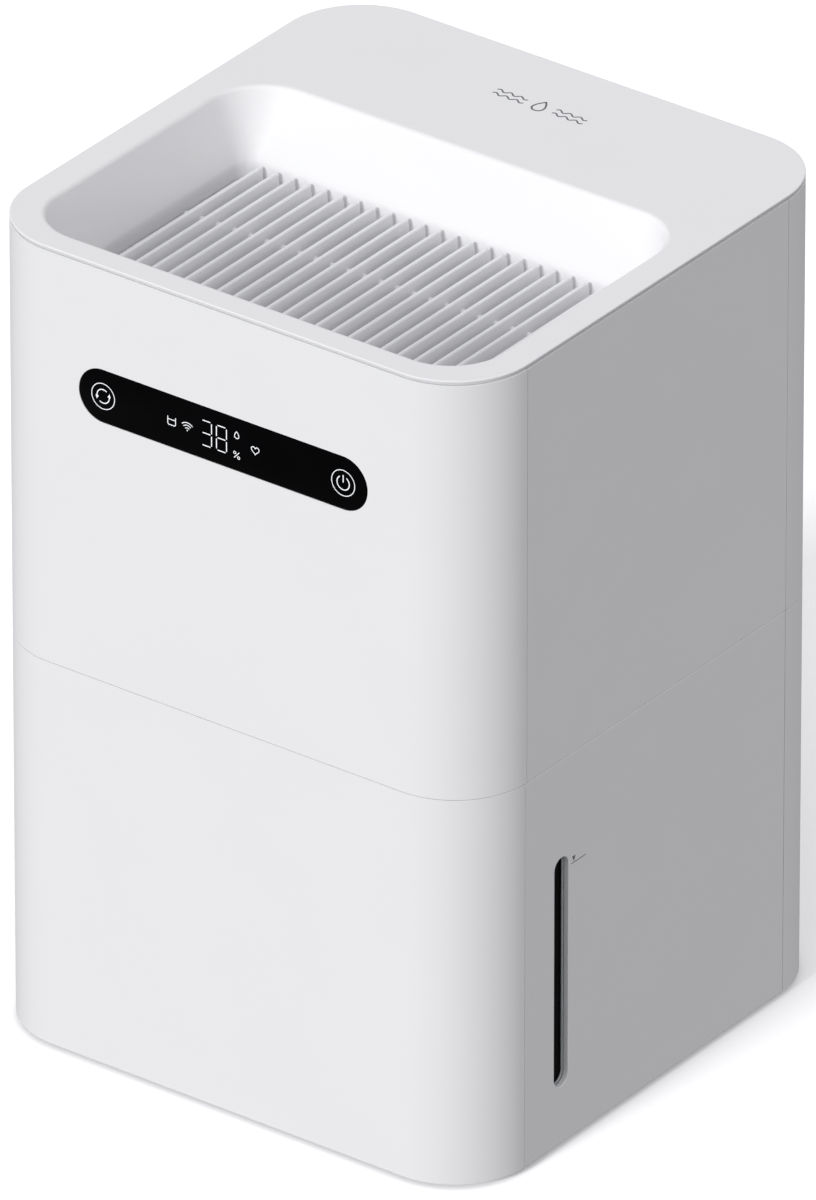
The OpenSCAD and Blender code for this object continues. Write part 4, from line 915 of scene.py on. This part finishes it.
# Glass-filled nylon: grey, with short fibres that break up the sheen.
filled_nylon = moulded_plastic("glass_filled_nylon", "#777F89", "#6C737C", 0.45, grain_mm=0.5, texture=0.2)
softened_copy("wheel_end_plates", "wheel", filled_nylon, 0.4 * mm)
dressed(filled_nylon, "disc_spacers")
softened_copy("wheel_gear", "wheel", natural_acetal, 0.15 * mm, 1)
dressed(ground_steel, "wheel_shaft", "pinion_shaft", "fan_shaft")
softened_copy("tie_rods", "wheel", zinc_steel, 0.25 * mm)

# ---------------------------------------------------------------------------------------------
# Wheel drive: a small geared motor stands in a cup on the frame's left wall. Its shaft passes a lip
# seal and turns an acetal pinion that meshes with the wheel's gear when the body is put down.
# ---------------------------------------------------------------------------------------------

softened_copy("drive_pinion", "pinion", natural_acetal, 0.15 * mm, 1)
softened_copy("motor_cup", "upper", grey_polypropylene, 0.4 * mm)
softened_copy("drive_motor", "upper", zinc_steel, 0.6 * mm, 3)

# ---------------------------------------------------------------------------------------------
# Frame and deck: the inner frame stands on the tank's rim, and the deck screwed to it carries the fan
# duct, the tray under the grille and the electronics. The frame, deck and tray are pale ABS, left as moulded;
# the fan shroud, motor bracket and electronics box and lid are grey polypropylene.
# ---------------------------------------------------------------------------------------------

# Unpainted pale ABS: matter and greyer than the covers, with a plain machined-mould grain.
pale_abs = moulded_plastic("pale_abs_inner", "#CBCDD0", "#C4C6CA", 0.5, grain_mm=0.5, texture=0.12)
for node, radius in (("inner_frame", 0.4), ("fan_deck", 0.4), ("fill_tray", 0.35)):
    softened_copy(node, "upper", pale_abs, radius * mm)
for node in ("fan_shroud", "motor_bracket", "electronics_box", "electronics_lid"):
    softened_copy(node, "upper", grey_polypropylene, 0.4 * mm)
deck_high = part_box("deck_screws")[1]
deck_x, deck_y, deck_top = deck_high.x - 3.2 * mm, deck_high.y - 3.2 * mm, deck_high.z - 2 * mm
deck_centres = [(sx * deck_x, sy * deck_y) for sx in (-1, 1) for sy in (-1, 1)]
dome = np.radians(np.linspace(0, 90, 7))
deck_head = np.concatenate([[[0, deck_top], [3.2 * mm, deck_top]],
                            np.column_stack([3.2 * mm * np.cos(dome) ** 0.6,
                                             deck_top + 0.8 * mm + 1.2 * mm * np.sin(dome)])])
deck_heads = new_piece("deck_screw_heads",
                       new_mesh("deck_screw_heads",
                                *joined([turned(deck_head, (x, y, 0), 2, 40) for x, y in deck_centres]),
                                zinc_steel), "upper", ["deck_screws"])
deck_recess = cross_cutters(deck_centres, deck_top + 2.1 * mm, 1.7 * mm, -1.3 * mm)
cut(deck_heads, [new_mesh("deck_recess", *joined(deck_recess), zinc_steel)])

# ---------------------------------------------------------------------------------------------
# Fan: an axial impeller moulded in dark nylon, seven cambered blades on a capped hub over its motor.
# Each blade thins towards its tip and turns flatter there, as its speed through the air grows.
# ---------------------------------------------------------------------------------------------

motor_low, motor_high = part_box("fan_motor")
fan_centre = (0, (motor_low.y + motor_high.y) / 2)
fan_radius, hub_radius, blade_total = 62 * mm, 26 * mm, 7
hub_z0, hub_z1 = motor_low.z + 3 * mm, motor_high.z + 6 * mm


def blades():
    """Blade surface over the span s and round the section t. Chord c, pitch p and thickness fall with s.
    The section is c times (x, camber +- half thickness), with camber 4 m x (1 - x) and the thickness of a
    four-digit aerofoil; it is turned by p and wrapped on the cylinder of radius r."""
    s = np.linspace(0, 1, 15)[:, None]
    x = (1 - np.cos(np.linspace(0, np.pi, 15))) / 2
    half = 5 * (0.2969 * np.sqrt(x) - 0.126 * x - 0.3516 * x ** 2 + 0.2843 * x ** 3 - 0.1036 * x ** 4)
    camber = 4 * 0.07 * x * (1 - x)
    along = np.concatenate([x, x[-2:0:-1]])
    upper_side, lower_side = camber + 0.09 * half, camber - 0.06 * half
    across = np.concatenate([upper_side, lower_side[-2:0:-1]])
    chord = (27 + 4 * s) * mm
    pitch = np.radians(40 - 13 * s)
    u, h = (along[None] - 0.5) * chord, across[None] * chord * (1 - 0.35 * s)
    radius = hub_radius - 1 * mm + (fan_radius - 0.3 * mm - hub_radius + 1 * mm) * s
    around = (u * np.cos(pitch) - h * np.sin(pitch)) / radius + 0.35 * s ** 2
    z = (hub_z0 + hub_z1) / 2 + u * np.sin(pitch) + h * np.cos(pitch)
    turn = (np.arange(blade_total) * 2 * np.pi / blade_total)[:, None, None]
    points = np.stack(np.broadcast_arrays(fan_centre[0] + radius * np.cos(around + turn),
                                          fan_centre[1] + radius * np.sin(around + turn), z + 0 * turn), -1)
    rows, columns = points.shape[1:3]
    faces = grid_faces(rows, columns, closed_columns=True)
    faces += [list(range(columns)), list(range(rows * columns - 1, (rows - 1) * columns - 1, -1))]
    return [(blade, faces) for blade in points]


hub_cap = rounded_corner(hub_radius - 2.5 * mm, hub_z1 - 2.5 * mm, 2.5 * mm, 0)
hub_profile = np.concatenate([[[hub_radius - 3 * mm, hub_z0], [hub_radius, hub_z0]], hub_cap,
                              [[3.1 * mm, hub_z1], [3.1 * mm, hub_z1 - 3 * mm],
                               [hub_radius - 3 * mm, hub_z1 - 3 * mm]]])
# Black glass-filled nylon: charcoal, dry sheen, a faint flow pattern.
dark_nylon = moulded_plastic("dark_nylon_moulded", "#3D4045", "#484B51", 0.42, grain_mm=0.4, texture=0.12)
impeller_parts = blades() + [turned(hub_profile, (fan_centre[0], fan_centre[1], 0), 2, 72)]
new_piece("fan_impeller_blades", new_mesh("fan_impeller_blades", *joined(impeller_parts), dark_nylon), "fan",
          ["impeller"])
softened_copy("fan_motor", "upper", zinc_steel, 0.8 * mm, 3)

# ---------------------------------------------------------------------------------------------
# Electronics: glass-fibre boards with their parts, the figure module behind the display, copper touch
# springs, a grey ribbon cable, the mains inlet and the sensors.
# ---------------------------------------------------------------------------------------------


def circuit_board(name, mask, copper, board_top, part):
    """Glass-fibre board under solder mask: fine tracks show as a lighter shade of the mask; whatever
    stands higher than the board's face is the dark body of a component."""
    made = empty_material(name)
    place = add_node(made, "ShaderNodeTexCoord").outputs["Object"]
    tracks = add_node(made, "ShaderNodeTexBrick",
                      {"Vector": place, "Scale": 1 / (7 * mm), "Mortar Size": 0.06, "Color1": linear(mask),
                       "Color2": linear(mask), "Mortar": linear(copper)}).outputs["Color"]
    height = add_node(made, "ShaderNodeSeparateXYZ", {0: place}).outputs["Z"]
    stands = add_node(made, "ShaderNodeMath", {0: height, 1: board_top + 0.1 * mm},
                      operation="GREATER_THAN").outputs[0]
    tone = add_node(made, "ShaderNodeMix", {"Factor": stands, "A": tracks, "B": linear(part)},
                    data_type="RGBA")
    weave = add_node(made, "ShaderNodeTexNoise", {"Vector": place, "Scale": 1 / (0.5 * mm)}).outputs["Fac"]
    relief = add_node(made, "ShaderNodeBump", {"Height": weave, "Strength": 0.15, "Distance": 0.05 * mm})
    face = add_node(made, "ShaderNodeBsdfPrincipled",
                    {"Base Color": tone.outputs["Result"], "Roughness": 0.35,
                     "Normal": relief.outputs["Normal"]})
    add_node(made, "ShaderNodeOutputMaterial", {"Surface": face.outputs[0]})
    return made


board_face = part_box("main_board")[0].z + 6.6 * mm
control_board = circuit_board("green_circuit_board", "#1E5A3A", "#3F7F58", board_face, "#26272A")
supply_board = circuit_board("tan_circuit_board", "#A98543", "#C9AC70", board_face, "#2E2F35")
dressed(control_board, "main_board", "display_board", "humidity_sensor")
dressed(supply_board, "power_supply")
# White reflector of the figure module, beryllium-copper springs, and the ribbon's grey vinyl ribs.
white_reflector = moulded_plastic("white_polycarbonate_reflector", "#E4E4E4", "#DCDCDC", 0.4, grain_mm=0.4)
copper_spring = plated_steel("copper_spring", "#C98F5E", "#B87C4C", 0.3)
ribbon_vinyl = moulded_plastic("grey_vinyl_ribbon", "#A9ABB0", "#9B9DA2", 0.5, grain_mm=0.6, texture=0.4)
dressed(white_reflector, "digit_module")
dressed(copper_spring, "touch_pads")
dressed(ribbon_vinyl, "display_ribbon")
dressed(ground_steel, "inlet_pins")
# Black polyamide of the mains inlet: matt, slightly grey at its edges.
black_polyamide = moulded_plastic("black_polyamide_inlet", "#17171A", "#1F1F22", 0.45, grain_mm=0.4,
                                  texture=0.15)
softened_copy("power_inlet", "upper", black_polyamide, 0.4 * mm)
softened_copy("level_sensor", "upper", pale_abs, 0.5 * mm)

# ---------------------------------------------------------------------------------------------
# Air intake: a slotted white grille pressed into the rear cover, and behind it a dust filter, a net of
# woven polyester threads on a pale frame that comes out with the grille.
# ---------------------------------------------------------------------------------------------

softened_copy("intake_grille", "intake", white_abs, 0.35 * mm)
softened_copy("filter_frame", "intake", pale_abs, 0.3 * mm)
mesh_low, mesh_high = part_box("filter_mesh")
thread_pitch, thread_radius = 2 * mm, 0.28 * mm


def threads(across, low_along, high_along, axis, phase):
    """Threads side by side along an axis, six-sided, that sway up and down by a radius: the sway is
    radius times cos(pi along / pitch), and turns round from each thread to the next."""
    steps = int((high_along - low_along) / (thread_pitch / 2)) + 1
    along = np.linspace(low_along, high_along, steps)[None, :, None]
    a = np.linspace(0, 2 * np.pi, 7)[:-1][None, None, :]
    sign = np.where(np.arange(len(across)) % 2, 1.0, -1.0)[:, None, None] * phase
    sway = sign * thread_radius * np.cos(np.pi * (along - low_along) / thread_pitch)
    points = np.empty((len(across), steps, 6, 3))
    other = 2 if axis == 0 else 0
    points[..., axis] = along
    points[..., other] = across[:, None, None] + thread_radius * np.cos(a)
    points[..., 1] = (mesh_low.y + mesh_high.y) / 2 + sway + thread_radius * np.sin(a)
    faces = grid_faces(steps, 6, closed_columns=True) + [[0, 1, 2, 3, 4, 5],
                                                         [6 * steps - i for i in range(1, 7)]]
    return [(thread, faces) for thread in points.reshape(len(across), -1, 3)]


warp_x = np.arange(mesh_low.x + 0.5 * mm, mesh_high.x - 0.4 * mm, thread_pitch)
weft_z = np.arange(mesh_low.z + 0.5 * mm, mesh_high.z - 0.4 * mm, thread_pitch)
# Polyester monofilament: grey, half clear, each thread with its own thin highlight.
polyester_thread = moulded_plastic("polyester_monofilament", "#6E7176", "#7C7F85", 0.3, grain_mm=0.8,
                                   texture=0.05)
new_piece("filter_net", new_mesh("filter_net", *joined(threads(warp_x, mesh_low.z, mesh_high.z, 2, 1.0)
                                                       + threads(weft_z, mesh_low.x, mesh_high.x, 0, -1.0)),
                                 polyester_thread), "intake", ["filter_mesh"])
